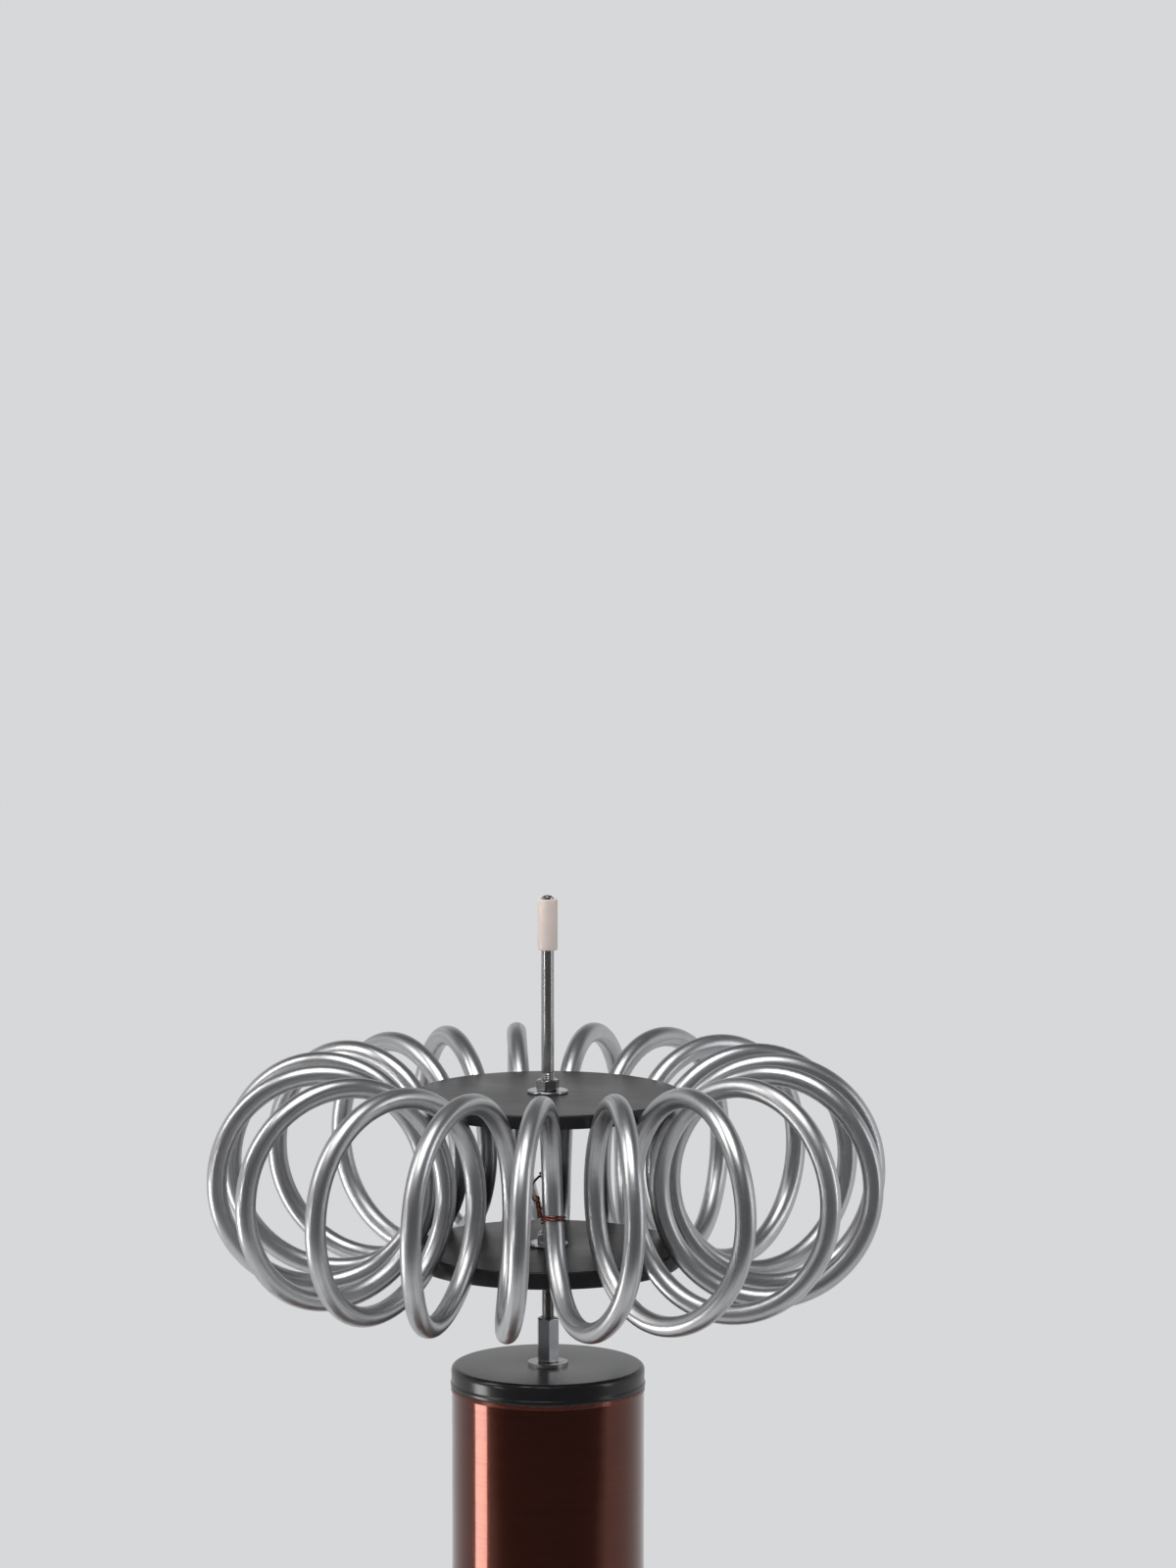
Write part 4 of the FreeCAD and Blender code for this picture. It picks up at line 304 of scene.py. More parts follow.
def noise(place, scale=1.0, detail=2.0, roughness=0.5, stretch=None, turn=(0, 0, 0), **settings):
    """A cloudy number at a place, which may first be turned and stretched."""
    if stretch:
        laid = {"Vector": place, "Rotation": turn, "Scale": stretch}
        place = node(place.id_data, "Mapping", laid).outputs[0]
    form = {"Vector": place, "Scale": scale, "Detail": detail, "Roughness": roughness}
    return node(place.id_data, "TexNoise", form, **settings).outputs["Fac"]


def scaled(value, factor, base, clamp=False):
    """A number laid over another: factor * value + base."""
    return maths("MULTIPLY_ADD", value, factor, base, clamp=clamp)


def bumped(height, deep, strength):
    """The normal of a skin with a height between 0 and 1 that is so many metres deep."""
    sizes = {"Height": height, "Distance": deep, "Strength": strength}
    return node(height.id_data, "Bump", sizes).outputs[0]


def link(shader, **sockets):
    """Leads colours, numbers and normals into a shader."""
    for label, value in sockets.items():
        shader.id_data.links.new(value, shader.inputs[label.replace("_", " ")])


def effect(name, inputs, *outputs):
    """An empty group with numbers in and out; returns both its sides too."""
    group = bpy.data.node_groups.new(name, "ShaderNodeTree")
    for label, value in inputs.items():
        made = group.interface.new_socket(label, in_out="INPUT", socket_type="NodeSocketFloat")
        made.default_value = value
    for label in outputs:
        group.interface.new_socket(label, in_out="OUTPUT", socket_type="NodeSocketFloat")
    given, taken = (group.nodes.new("NodeGroup" + side) for side in ("Input", "Output"))
    return group, given.outputs, taken.inputs


def place_effect(tree, group, **values):
    """An effect in a material, with its own values; returns its outputs."""
    made = tree.nodes.new("ShaderNodeGroup")
    made.node_tree = group
    for label, value in values.items():
        made.inputs[label.replace("_", " ")].default_value = value
    return made.outputs


# Grain: fine pits and swells of a moulded, cast or sprayed skin, as a height and as a mask.
grain, give, take = effect("grain", {"Per Metre": 2500.0, "Softness": 0.5}, "Height", "Mottle")
place = spot(grain)
grain.links.new(noise(place, give["Per Metre"], 3.0, give["Softness"]), take["Height"])
grain.links.new(noise(place, 46.0, 4.0, 0.6), take["Mottle"])

# Dust: a thin settled film on what faces up, thicker in drifts, as a mask.
dust, give, take = effect("dust", {"Amount": 0.3}, "Film")
up = node(dust, "SeparateXYZ", {0: node(dust, "NewGeometry").outputs["Normal"]}).outputs["Z"]
place = spot(dust)
drifts = ranged(noise(place, 17.0, 6.0, 0.65), 0.30, 0.80)
specks = ranged(noise(place, 900.0, 1.0), 0.62, 0.74)
film = maths("MULTIPLY", scaled(specks, 0.55, drifts), ranged(up, 0.55, 1.0))
dust.links.new(maths("MULTIPLY", film, give["Amount"], clamp=True), take["Film"])

# Rub: edges and corners polished by handling, and fine scratches that cross each other, as masks.
rub, give, take = effect("rub", {"Edge": 0.5, "Scratches": 0.4}, "Edges", "Lines")
place = spot(rub)
edge = ranged(node(rub, "NewGeometry").outputs["Pointiness"], 0.505, 0.56)
worn = ranged(noise(place, 130.0, 5.0, 0.7), 0.42, 0.62)
edge = maths("MULTIPLY", maths("MULTIPLY", edge, worn), give["Edge"], clamp=True)
rub.links.new(edge, take["Edges"])
lines = [noise(place, 1.0, 1.0, stretch=(14.0, 900.0, 900.0), turn=(0.4 * turn, 0.7, turn))
         for turn in (0.35, 1.45, 2.6)]
lines = [ranged(line, 0.69, 0.76) for line in lines]
lines = maths("MAXIMUM", maths("MAXIMUM", *lines[:2]), lines[2])
rub.links.new(maths("MULTIPLY", lines, give["Scratches"]), take["Lines"])


def moulded(name, color, roughness, per_metre=2500.0, deep=0.02 * MM, dusty=0.25, worn=0.3,
            edges=1.0, **sockets):
    """A plastic, rubber or sprayed finish: grain in its height, colour that drifts a little, edges
    rubbed smoother and lighter (by a share, 0 on wide flat sheets), fine scratches, and dust."""
    material, tree, shader = finish(name, color, roughness, **sockets)
    grained = place_effect(tree, grain, Per_Metre=per_metre)
    rubbed = place_effect(tree, rub, Edge=worn * edges, Scratches=worn)
    film = place_effect(tree, dust, Amount=dusty)["Film"]
    dark = tuple(0.95 * value for value in color)
    pale = tuple(min(1.0, 1.35 * value + 0.025) for value in color)
    body = mixed(rubbed["Edges"], mixed(grained["Mottle"], dark, color), pale)
    smooth = ranged(grained["Mottle"], 0.25, 0.75, roughness * 0.985, min(1.0, roughness * 1.015))
    smooth = scaled(rubbed["Edges"], -0.22 * roughness, smooth)
    smooth = scaled(rubbed["Lines"], 0.12, smooth)
    height = scaled(rubbed["Lines"], -0.6, grained["Height"])
    link(shader, Base_Color=mixed(film, body, (0.40, 0.385, 0.36)),
         Roughness=scaled(film, 0.45, smooth, clamp=True), Normal=bumped(height, deep, 0.8))
    return material


rubber = moulded("foot_rubber", (0.022, 0.022, 0.023), 0.62, 3800.0, 0.03 * MM, 0.12)
corners = [(108.0 * sx, 108.0 * sy) for sx, sy in FOUR]
foot = [(2.4, 4.5), (5, 4.5), (5.4, 0), (10.2, 0), (11, 1.6), (10.6, 8), (2.4, 8)]
feet = [lathed(foot, (0.2, 0.3, 0.4, 1.0, 1.2, 0.5, 0.2), sides=48, x=x, y=y) for x, y in corners]
piece("feet", feet, rubber, "black_rubber", "rubber_feet")

# --------
# Base plate and pillars. A sheet steel plate with rounded corners and a broken edge, powder coated
# black; four turned aluminium pillars stand on it, inside the housing, and tie it to the deck.
def slab(low, high, ease, side=280.0, corner=16.0, steps=24):
    """A square plate in millimetres with rounded corners: a profile of insets and heights, carried
    round the four corner arcs."""
    outline = [(12.0, low), (0.0, low), (0.0, high), (12.0, high)]
    outline = eased(outline, (0, ease, ease, 0), closed=False)
    count = np.arange(4 * steps)
    quarter = count // steps
    angle = (quarter + (count % steps) / (steps - 1.0)) * math.pi / 2
    straight = side / 2 - corner
    x = straight * np.array([1, -1, -1, 1])[quarter]
    y = straight * np.array([1, 1, -1, -1])[quarter]
    reach = corner - outline[:, :1]
    return surface(np.stack([x + reach * np.cos(angle), y + reach * np.sin(angle),
                             outline[:, 1:] + 0.0 * angle], -1) * MM)


STEEL_COAT = (0.028, 0.028, 0.031)
plate_coat = moulded("plate_powder_coat", STEEL_COAT, 0.50, 2100.0, 0.05 * MM, 0.22, 0.5,
                     Specular_IOR_Level=0.36)
piece("base_sheet", [slab(8.0, 12.0, 0.8)], plate_coat, "plate_paint", "base_plate")


def turned_metal(name, color, roughness, dusty=0.1, lines_per_metre=5200.0, deep=0.004 * MM,
                 **sockets):
    """A turned or drawn metal: fine rings round its upright axis, and a stain or two."""
    material, tree, shader = finish(name, color, roughness, Metallic=1.0, **sockets)
    place = spot(tree)
    rings = noise(place, stretch=(30.0, 30.0, lines_per_metre))
    stain = noise(place, 70.0, 5.0, 0.6)
    lines = place_effect(tree, rub, Edge=0.3, Scratches=0.5)["Lines"]
    film = place_effect(tree, dust, Amount=dusty)["Film"]
    dull = tuple(0.78 * value for value in color)
    body = mixed(ranged(stain, 0.35, 0.65), color, dull)
    smooth = ranged(stain, 0.3, 0.7, roughness * 0.8, roughness * 1.25)
    link(shader, Base_Color=mixed(film, body, (0.42, 0.41, 0.39)),
         Roughness=scaled(film, 0.5, smooth, clamp=True),
         Normal=bumped(scaled(lines, -0.8, rings), deep, 0.7))
    return material


def dress(material, *solids):
    """Gives solids of the model their finished material; their shapes stay as they are."""
    for solid in solids:
        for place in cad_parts[solid].material_slots:
            place.material = material


dress(turned_metal("pillar_aluminium", (0.66, 0.665, 0.675), 0.34), "corner_pillars")

# --------
# Housing. One folded shell of 2 mm sheet steel, powder coated a textured black outside and in,
# with its front cut for the controls, slots in its right wall and the fan's opening in its left.
dress(moulded("shell_powder_coat", STEEL_COAT, 0.54, 1900.0, 0.07 * MM, 0.15, 0.45, edges=0.0,
              Specular_IOR_Level=0.36), "housing_shell")

# --------
# Deck. A black acrylic plate with flame-polished edges that closes the housing and carries both
# coils, drawn down on the pillars by four button-head screws with hexagon sockets.
DECK_TOP = 104.0
acrylic = moulded("deck_acrylic", (0.010, 0.010, 0.011), 0.11, 300.0, 0.004 * MM, 0.10, 0.35,
                  Coat_Weight=0.5, Coat_Roughness=0.04)
piece("deck", [slab(96.0, DECK_TOP, 1.1)], acrylic, "deck_black", "deck_plate")

FACING = {
    "up": ((1, 0, 0), (0, 1, 0), (0, 0, 1)),
    "down": ((1, 0, 0), (0, -1, 0), (0, 0, -1)),
    "front": ((1, 0, 0), (0, 0, -1), (0, 1, 0)),
    "back": ((-1, 0, 0), (0, 0, 1), (0, 1, 0)),
    "left": ((0, 0, -1), (-1, 0, 0), (0, 1, 0)),
    "right": ((0, 0, 1), (1, 0, 0), (0, 1, 0)),
}


def facing(form, side, x, y, z):
    """The same skin with its Z axis turned to a side, and its origin at a point in millimetres."""
    points, *rest = form
    return (points @ np.transpose(FACING[side]) + np.array([x, y, z]) * MM, *rest)


def hexagon(flats, sides):
    """The reach of a hexagon with a corner at angle 0, at each of the spread angles."""
    return flats / 2.0 / np.cos(spread(sides) % (math.pi / 3.0) - math.pi / 6.0)


def socket_screw(long, head=2.8, high=2.0, key=2.0, shank=1.45, sides=36):
    """A button-head screw that stands on z=0: rows from the floor of its hexagon socket, over the
    crowned head, down its rim, and along a plain shank to a chamfered end."""
    inside = hexagon(key, sides)
    rings = [(0.05 * key, 0.42 * high), (0.98 * inside, 0.42 * high), (inside, 0.98 * high),
             (0.64 * key, high)]
    rings += [(0.64 * key + (0.96 * head - 0.64 * key) * t, high * (1.0 - 0.72 * t ** 2.4))
              for t in np.linspace(0.2, 1.0, 5)]
    rings += [(head, 0.20 * high), (head, 0.05 * high), (0.98 * head, 0.0), (shank, 0.0),
              (shank, 0.3 * shank - long), (0.72 * shank, -long)]
    reach = np.stack([np.broadcast_to(radius, sides) for radius, _ in rings])
    return surface(around(reach, np.array([level for _, level in rings])[:, None], sides) * MM)


zinc = turned_metal("zinc_plate", (0.44, 0.44, 0.455), 0.18, 0.04)
stand_screw = {"head": 4.0, "high": 2.6, "key": 2.5, "shank": 1.95, "sides": 48}
deck_screw, foot_screw = socket_screw(20.0, **stand_screw), socket_screw(19.5, **stand_screw)
forms = [facing(deck_screw, "up", x, y, DECK_TOP) for x, y in corners]
forms += [facing(foot_screw, "down", x, y, 4.5) for x, y in corners]
piece("stand_bolts", forms, zinc, "zinc_steel", "stand_screws")

# --------
# Coil socket and former. A moulded flange is screwed to the deck; the clear-lacquered plastic tube
# slips over its spigot and stands on it.
FLANGE_TOP = 110.0
socket_plastic = moulded("socket_plastic", (0.018, 0.018, 0.019), 0.30, 2600.0, dusty=0.2)
flange = lathed([(29.9, DECK_TOP), (46, DECK_TOP), (46, FLANGE_TOP), (34.9, FLANGE_TOP),
                 (34.9, 125), (29.9, 125)], (0.2, 0.3, 1.2, 0.2, 0.8, 0.5), sides=128)
piece("coil_foot", [flange], socket_plastic, "cap_black", "coil_socket")
dress(moulded("former_plastic", (0.60, 0.565, 0.49), 0.34, 1200.0, dusty=0.1), "coil_former")

# --------
# Secondary. About a thousand turns of fine enamelled copper wire, close wound and varnished. Its
# lower end leaves over a taped turn to the earth tag; its upper end goes in under the cap.
# Painted shade: the copper's own dark red-brown is kept darker still, to stand for a dark room
# mirrored in the winding.
winding_varnish, tree, shader = finish("varnished_winding", (0.08, 0.015, 0.006), 0.16,
                                       Metallic=0.9, Anisotropic=0.5, Anisotropic_Rotation=0.25,
                                       Coat_Weight=0.5, Coat_Roughness=0.03)
place = spot(tree)
turns = noise(place, stretch=(6.0, 6.0, 3300.0))
bands = noise(place, 1.0, 5.0, 0.7, stretch=(3.0, 3.0, 150.0))
pooled = noise(place, 24.0, 4.0, 0.55)
tone = mixed(ranged(turns, 0.3, 0.7), (0.064, 0.0115, 0.0045), (0.110, 0.023, 0.009))
tone = mixed(ranged(bands, 0.50, 0.75, 0.0, 0.5), tone, (0.060, 0.012, 0.0055))
link(shader, Base_Color=tone, Roughness=ranged(bands, 0.3, 0.7, 0.13, 0.20),
     Normal=bumped(scaled(bands, 0.6, turns), 0.01 * MM, 0.5),
     Coat_Normal=bumped(pooled, 0.12 * MM, 0.35))

WIRE = 0.3 * MM
TUBE, WOUND = 37.5, 37.86
LOW, HIGH = 122.0 * MM, 409.85 * MM
level = np.linspace(LOW, HIGH, 460)
swell = 0.020 * np.sin(level * 190.0) + 0.005 * np.sin(level * 730.0 + 1.0)
drawn_in = np.exp(-(level - LOW) / (0.4 * MM)) + np.exp((level - HIGH) / (0.4 * MM))
outline = np.vstack([np.stack([(WOUND + swell - 0.25 * drawn_in) * MM, level], 1),
                     [(TUBE * MM, HIGH), (TUBE * MM, LOW)]])
piece("winding", [turned(outline, sides=144)], winding_varnish, "enamelled_copper",
      "secondary_winding", crease=50.0)


def unit(rows):
    """The same ways with a length of one."""
    return rows / np.linalg.norm(rows, axis=-1, keepdims=True)


def swept(path, radius, guide, sides=12, way=None):
    """A round section carried along a path: each ring lies square to the path, and its first spoke
    points the way of the guide, less what of it runs along the path."""
    way = unit(np.gradient(path, axis=0) if way is None else way)
    first = np.broadcast_to(guide, path.shape)
    first = unit(first - way * np.sum(first * way, axis=1, keepdims=True))
    second = np.cross(way, first)
    angle = spread(sides)[None, :, None]
    reach = np.broadcast_to(radius, len(path))[:, None, None]
    spokes = np.cos(angle) * first[:, None] + np.sin(angle) * second[:, None]
    return surface(path[:, None] + reach * spokes)


def coiled(radius, low, pitch, turns, start):
    """The line of a wire wound round the axis: its angle grows evenly, and its height with it."""
    turn = np.linspace(0.0, turns, int(turns * 64) + 1)
    angle = start + 2.0 * math.pi * turn
    return np.stack([radius * np.cos(angle), radius * np.sin(angle), low + pitch * turn], 1)


taped = ((LOW - 0.4 * MM, 6.0, math.pi), (HIGH - 1.6 * MM, 5.0, 0.0))
end_turns = [swept(coiled((WOUND + 0.16) * MM, low, WIRE, turns, start), 0.145 * MM, (0, 0, 1), 8)
             for low, turns, start in taped]
enamel = turned_metal("enamelled_wire", (0.15, 0.030, 0.013), 0.26, Coat_Weight=0.6,
                      Coat_Roughness=0.08)
piece("end_turns", end_turns, enamel, "enamelled_copper")
dress(enamel, "coil_leads")

# --------
# Top cap. A turned plug of glossy black plastic with a rounded shoulder and a small bead round its
# foot. A bolt from inside clamps it between two solder tags, under the hexagon standoff.
cap_plastic = moulded("cap_plastic", (0.010, 0.010, 0.011), 0.22, 700.0, 0.006 * MM, 0.08, 0.25,
                      Specular_IOR_Level=0.35)
cap = lathed([(2.7, 413.2), (30.9, 413.2), (30.9, 398), (34.9, 398), (34.9, 410),
              (38.3, 410), (38.3, 411.6), (37.9, 412.1), (38.15, 418.2), (2.7, 418.2)],
             (0.3, 0.8, 0.6, 0.6, 0.2, 0.7, 0.4, 0.4, 2.4, 0.3), 9, 144)
piece("coil_cap", [cap], cap_plastic, "cap_black", "top_cap")
tinned = turned_metal("tinned_copper", (0.63, 0.62, 0.60), 0.30)
dress(tinned, "solder_tags")
dress(zinc, "cap_bolt")


# --------
# Standoff, rod, nuts and washers. A plated hexagon standoff takes the bolt from below and the M5
# rod from above; nuts and washers on the rod hold the two discs, below and above the turns.
def hex_part(high, z, corner, flats=8.0, bore=2.55, sides=96):
    """A hexagon bar with a bore and one corner at an angle: its reach is the lesser of a hexagon
    and a flat cone at each end, which cuts the corners back."""
    inner = np.array([(bore, 0.5), (bore + 0.45, 0.0)])
    near = np.array([0.0, 0.06, 0.12, 0.20, 0.29, 0.38, 0.48, 0.62])
    level = np.concatenate([near, high - near[::-1]])
    end_reach, slope = 0.472 * flats, 1.73
    cone = end_reach + slope * np.minimum(level, high - level)
    reach = np.minimum(hexagon(flats, sides)[None], cone[:, None])
    reach = np.vstack([inner[:, :1] + 0.0 * reach[:2], reach, inner[::-1, :1] + 0.0 * reach[:2]])
    level = np.concatenate([inner[:, 1], level, high - inner[::-1, 1]])[:, None]
    return surface(around(reach, z + level, sides, start=math.radians(corner)) * MM, loop=True)


piece("standoff", [hex_part(17.5, 419.4, -84.0)], zinc, "zinc_steel", "hex_standoff")
nuts = ((453.4, -71.0), (466.8, -92.0), (527.4, -104.6))
piece("nuts", [hex_part(4.2, z, corner) for z, corner in nuts], zinc, "zinc_steel", "disc_nuts")
washers = [lathed([(2.7, z), (8, z), (8, z + 1.2), (2.7, z + 1.2)], (0.15, 0.4, 0.4, 0.15))
           for z in (457.6, 465.6, 526.2)]
piece("washers", washers, zinc, "zinc_steel", "disc_washers")

PITCH, THREAD_DEEP, ROD = 0.8, 0.40, 2.5
ROD_LOW, THREAD_END, ROD_TOP = 429.0, 534.0, 603.9
level = np.concatenate([np.arange(ROD_LOW + 0.4, THREAD_END + 2.0, PITCH / 6.0),
                        np.linspace(THREAD_END + 2.0, ROD_TOP - 0.5, 60)])[:, None]
phase = (level / PITCH - spread(24)[None] / (2.0 * math.pi)) % 1.0
groove = np.clip(1.35 * np.abs(2.0 * phase - 1.0) - 0.15, 0.0, 1.0)
plain = np.clip((level - THREAD_END) / 0.8, 0.0, 1.0)
thread = ROD - THREAD_DEEP * groove * (1.0 - plain)
end = np.clip(np.minimum(level - ROD_LOW, ROD_TOP - level) / 0.8, 0.0, 1.0)
rod = around(np.minimum(thread, 1.9 + 0.6 * end), level, 24)
tip = 1.4 * np.linspace(0.0, 1.0, 5)[:, None]
dome = around(1.95 * np.cos(tip), ROD_TOP - 0.45 + 0.7 * np.sin(tip), 24)
rod_steel = turned_metal("rod_steel", (0.40, 0.395, 0.39), 0.24, 0.02)
piece("rod", [surface(np.concatenate([rod, dome]) * MM)], rod_steel, "zinc_steel", "discharge_rod",
      crease=60.0)

# --------
# Discs. Two thick black plates with a smooth satin gloss and a broken rim; the turns of the toroid
# are gripped between them, and the upper one mirrors the rod.
BLACK = (0.014, 0.014, 0.015)
disc_black, tree, shader = finish("disc_black", BLACK, 0.30, Specular_IOR_Level=0.22)
cloud = noise(spot(tree), 30.0, 5.0, 0.6)
rubbed = place_effect(tree, rub, Edge=0.5, Scratches=0.45)
film = place_effect(tree, dust, Amount=0.14)["Film"]
tone = mixed(rubbed["Edges"], BLACK, (0.06, 0.06, 0.062))
smooth = scaled(film, 0.5, ranged(cloud, 0.3, 0.7, 0.26, 0.36))
link(shader, Base_Color=mixed(film, tone, (0.34, 0.33, 0.32)),
     Roughness=scaled(rubbed["Lines"], 0.25, smooth, clamp=True),
     Normal=bumped(scaled(rubbed["Lines"], -0.5, cloud), 0.01 * MM, 0.5))
DISC = 52.5
discs = (("lower_disc", "bottom_disc", 458.8, 465.6), ("upper_disc", "top_disc", 520.8, 526.2))
for name, solid, low, high in discs:
    outline = [(2.7, low), (DISC, low), (DISC, high), (2.7, high)]
    disc = lathed(outline, (0.3, 0.7, 0.9, 0.3), 7, 192)
    piece(name, [disc], disc_black, "spun_black", solid)

# --------
# Discharge tip. A short ceramic sleeve over the rod's end keeps the discharge to the very point.
# Painted light: the sleeve's own pale cream carries a pinkish warmth that stands for the red glow
# of the discharge.
ceramic = moulded("tip_ceramic", (0.70, 0.60, 0.55), 0.50, 5200.0, dusty=0.05)
sleeve = lathed([(2.55, 582.7), (3.9, 582.7), (3.9, 602.7), (2.55, 602.7)], 0.4, sides=64)
piece("tip", [sleeve], ceramic, "tip_ceramic", "tip_sleeve")

# --------
# Toroid. One long aluminium tube, drawn and then bent by hand into nineteen turns round a ring: it
# carries fine lines along its length, a satin skin and small marks from the bending. Its ends meet
# underneath at the back, over a plug in the bore.
TURNS = 19
RING, HALF_WIDTH, HALF_HEIGHT, MIDDLE = 88.8, 40.6, 42.6, 493.2
DRIFTS = ((3.0, 14.0, 1, 0), (1.7, -139.0, 3, 0), (1.35, 110.0, 0, 1), (0.9, 170.0, 0, 2))


def toroid_line(turn):
    """The tube's centreline by number of turns, and a guide across it: a circle stands across a
    larger circle, and its angle moves on with each turn. It drifts by a few sines: once and three
    times round the ring, where the turns crowd, and once and twice in each turn."""
    way_round = 2.0 * math.pi * turn
    even = math.radians(-5.8) + way_round / TURNS
    angle = even
    for drift, start, by_ring, by_turn in DRIFTS:
        phase = by_ring * even + by_turn * way_round
        angle = angle + math.radians(drift) * np.sin(phase + math.radians(start))
    out = np.stack([np.sin(angle), -np.cos(angle), 0.0 * angle], -1)
    line = (RING + HALF_WIDTH * np.cos(way_round))[:, None] * out
    line[:, 2] = MIDDLE + HALF_HEIGHT * np.sin(way_round)
    guide = np.cos(way_round)[:, None] * out
    guide[:, 2] = np.sin(way_round)
    return line * MM, guide


def toroid_way(turn):
    """The way the tube runs: a small step along its centreline."""
    return toroid_line(turn + 1e-4)[0] - toroid_line(turn - 1e-4)[0]


satin, tree, shader = finish("drawn_aluminium", (0.50, 0.505, 0.515), 0.27, Metallic=1.0)
run = node(tree, "UVMap", uv_map="run").outputs[0]
drawn = noise(run, 1.0, 4.0, 0.7, stretch=(46.0, 5.0, 1.0), noise_dimensions="2D")
broad = noise(run, 1.0, 3.0, 0.5, stretch=(9.0, 2.6, 1.0), noise_dimensions="2D")
cloud = noise(spot(tree), 55.0, 6.0, 0.65)
lines = place_effect(tree, rub, Edge=0.0, Scratches=0.35)["Lines"]
streaks = ranged(drawn, 0.36, 0.66)
tone = mixed(streaks, (0.40, 0.405, 0.413), (0.56, 0.563, 0.572))
tone = mixed(ranged(cloud, 0.5, 0.72, 0.0, 0.5), tone, (0.35, 0.35, 0.357))
smooth = scaled(streaks, -0.06, ranged(broad, 0.3, 0.7, 0.31, 0.42))
height = scaled(lines, -0.7, scaled(cloud, 0.8, drawn))
link(shader, Base_Color=tone, Roughness=scaled(lines, 0.18, smooth, clamp=True),
     Normal=bumped(height, 0.02 * MM, 0.6))

TURN_LONG = 261.5
meeting = TURNS // 2 + 0.75
gap, inside, step = 0.15 / TURN_LONG, 9.0 / TURN_LONG, 0.25 / TURN_LONG
plain = np.linspace(meeting + gap, meeting + TURNS - gap, TURNS * 88 + 1)
turn = np.concatenate([[plain[0] + inside, plain[0], plain[0], plain[0] + step], plain[1:-1],
                       [plain[-1] - step, plain[-1], plain[-1], plain[-1] - inside]])
rim = [3.0, 3.0, 3.75, 4.0]
reach = np.concatenate([rim, np.full(len(plain) - 2, 4.0), rim[::-1]])
line, guide = toroid_line(turn)
piece("toroid", [swept(line, reach * MM, guide, 22, toroid_way(turn))], satin, "toroid_aluminium",
      "toroid_tube", crease=40.0)
dress(turned_metal("joiner_aluminium", (0.62, 0.62, 0.63), 0.4), "tube_joiner")

# --------
# Bond wire. Enamelled copper wire wrapped round one inner strand of the toroid and twisted back on
# itself, then led across to a loop round the rod, so that turns and rod share their charge.
def ringed(radius, angle, across, inwards):
    """Points on a circle between two ways across a wire, at the angles given."""
    return radius * MM * (np.cos(angle)[:, None] * across + np.sin(angle)[:, None] * inwards)


bond_turn = np.array([0.5 + 7.5 / (2.0 * math.pi * HALF_HEIGHT)])
strand, strand_way = toroid_line(bond_turn)[0][0], unit(toroid_way(bond_turn))[0]
side = unit(np.cross(strand_way, (0.0, 1.0, 0.0)))
inwards = np.cross(side, strand_way)
WRAP, WRAP_PITCH = 4.5, 1.16 * MM
turn = np.linspace(-0.30, 2.05, 150)
wrap = (strand + ringed(WRAP, 2.0 * math.pi * turn + math.pi, side, inwards)
        + ((turn - 0.9) * WRAP_PITCH)[:, None] * strand_way)
angle = np.linspace(math.pi, 3.1 * math.pi, 60)
loop_reach = (ROD + 0.5) * MM
rise = strand[2] + 7.5 * MM + 1.1 * MM * (angle - math.pi) / (2.1 * math.pi)
rod_loop = np.stack([loop_reach * np.cos(angle), loop_reach * np.sin(angle), rise], 1)
t = np.linspace(0.0, 1.0, 60)[:, None]
start, stop = wrap[0], rod_loop[0]
leaving = start + np.array([-9.0, 5.0, 1.0]) * MM
coming = stop + np.array([-7.0, -16.0, -2.0]) * MM
lead = ((1 - t) ** 3 * start + 3 * (1 - t) ** 2 * t * leaving
        + 3 * (1 - t) * t ** 2 * coming + t ** 3 * stop)
twist = np.linspace(0.0, 1.0, 90)
base = strand - side * 5.0 * MM - strand_way * 0.8 * MM
ends = [base - (twist * long * MM)[:, None] * (0.99 * strand_way + 0.10 * side)
        + ringed(radius, 2.0 * math.pi * turns * twist, side, inwards)
        for long, radius, turns in ((8.5, 0.55, 4.5), (7.0, -0.55, 3.5))]
guide = (0.32, 0.51, 0.80)
wires = [swept(np.vstack([rod_loop[::-1], lead[::-1][1:-1], wrap]), 0.48 * MM, guide, 10)]
wires += [swept(line, 0.45 * MM, guide, 10) for line in ends]
piece("bond", wires, enamel, "enamelled_copper", "bond_wire")

# --------
# Primary coil. Five flat turns of bright copper tube, threaded through four slotted combs and held
# at both ends in brass clamps. It was lacquered, and has browned a little in patches.
copper, tree, shader = finish("lacquered_copper", (0.80, 0.40, 0.25), 0.22, Metallic=1.0,
                              Coat_Weight=0.35, Coat_Roughness=0.1)
run = node(tree, "UVMap", uv_map="run").outputs[0]
drawn = noise(run, 1.0, 4.0, stretch=(30.0, 4.0, 1.0), noise_dimensions="2D")
aged = noise(spot(tree), 34.0, 6.0, 0.65)
film = place_effect(tree, dust, Amount=0.2)["Film"]
lines = place_effect(tree, rub, Edge=0.0, Scratches=0.4)["Lines"]
tone = mixed(ranged(aged, 0.40, 0.68), (0.80, 0.41, 0.26), (0.50, 0.21, 0.12))
smooth = ranged(aged, 0.3, 0.7, 0.17, 0.34)
link(shader, Base_Color=mixed(film, tone, (0.42, 0.38, 0.35)),
     Roughness=scaled(film, 0.4, smooth, clamp=True),
     Normal=bumped(scaled(lines, -0.8, drawn), 0.02 * MM, 0.6))

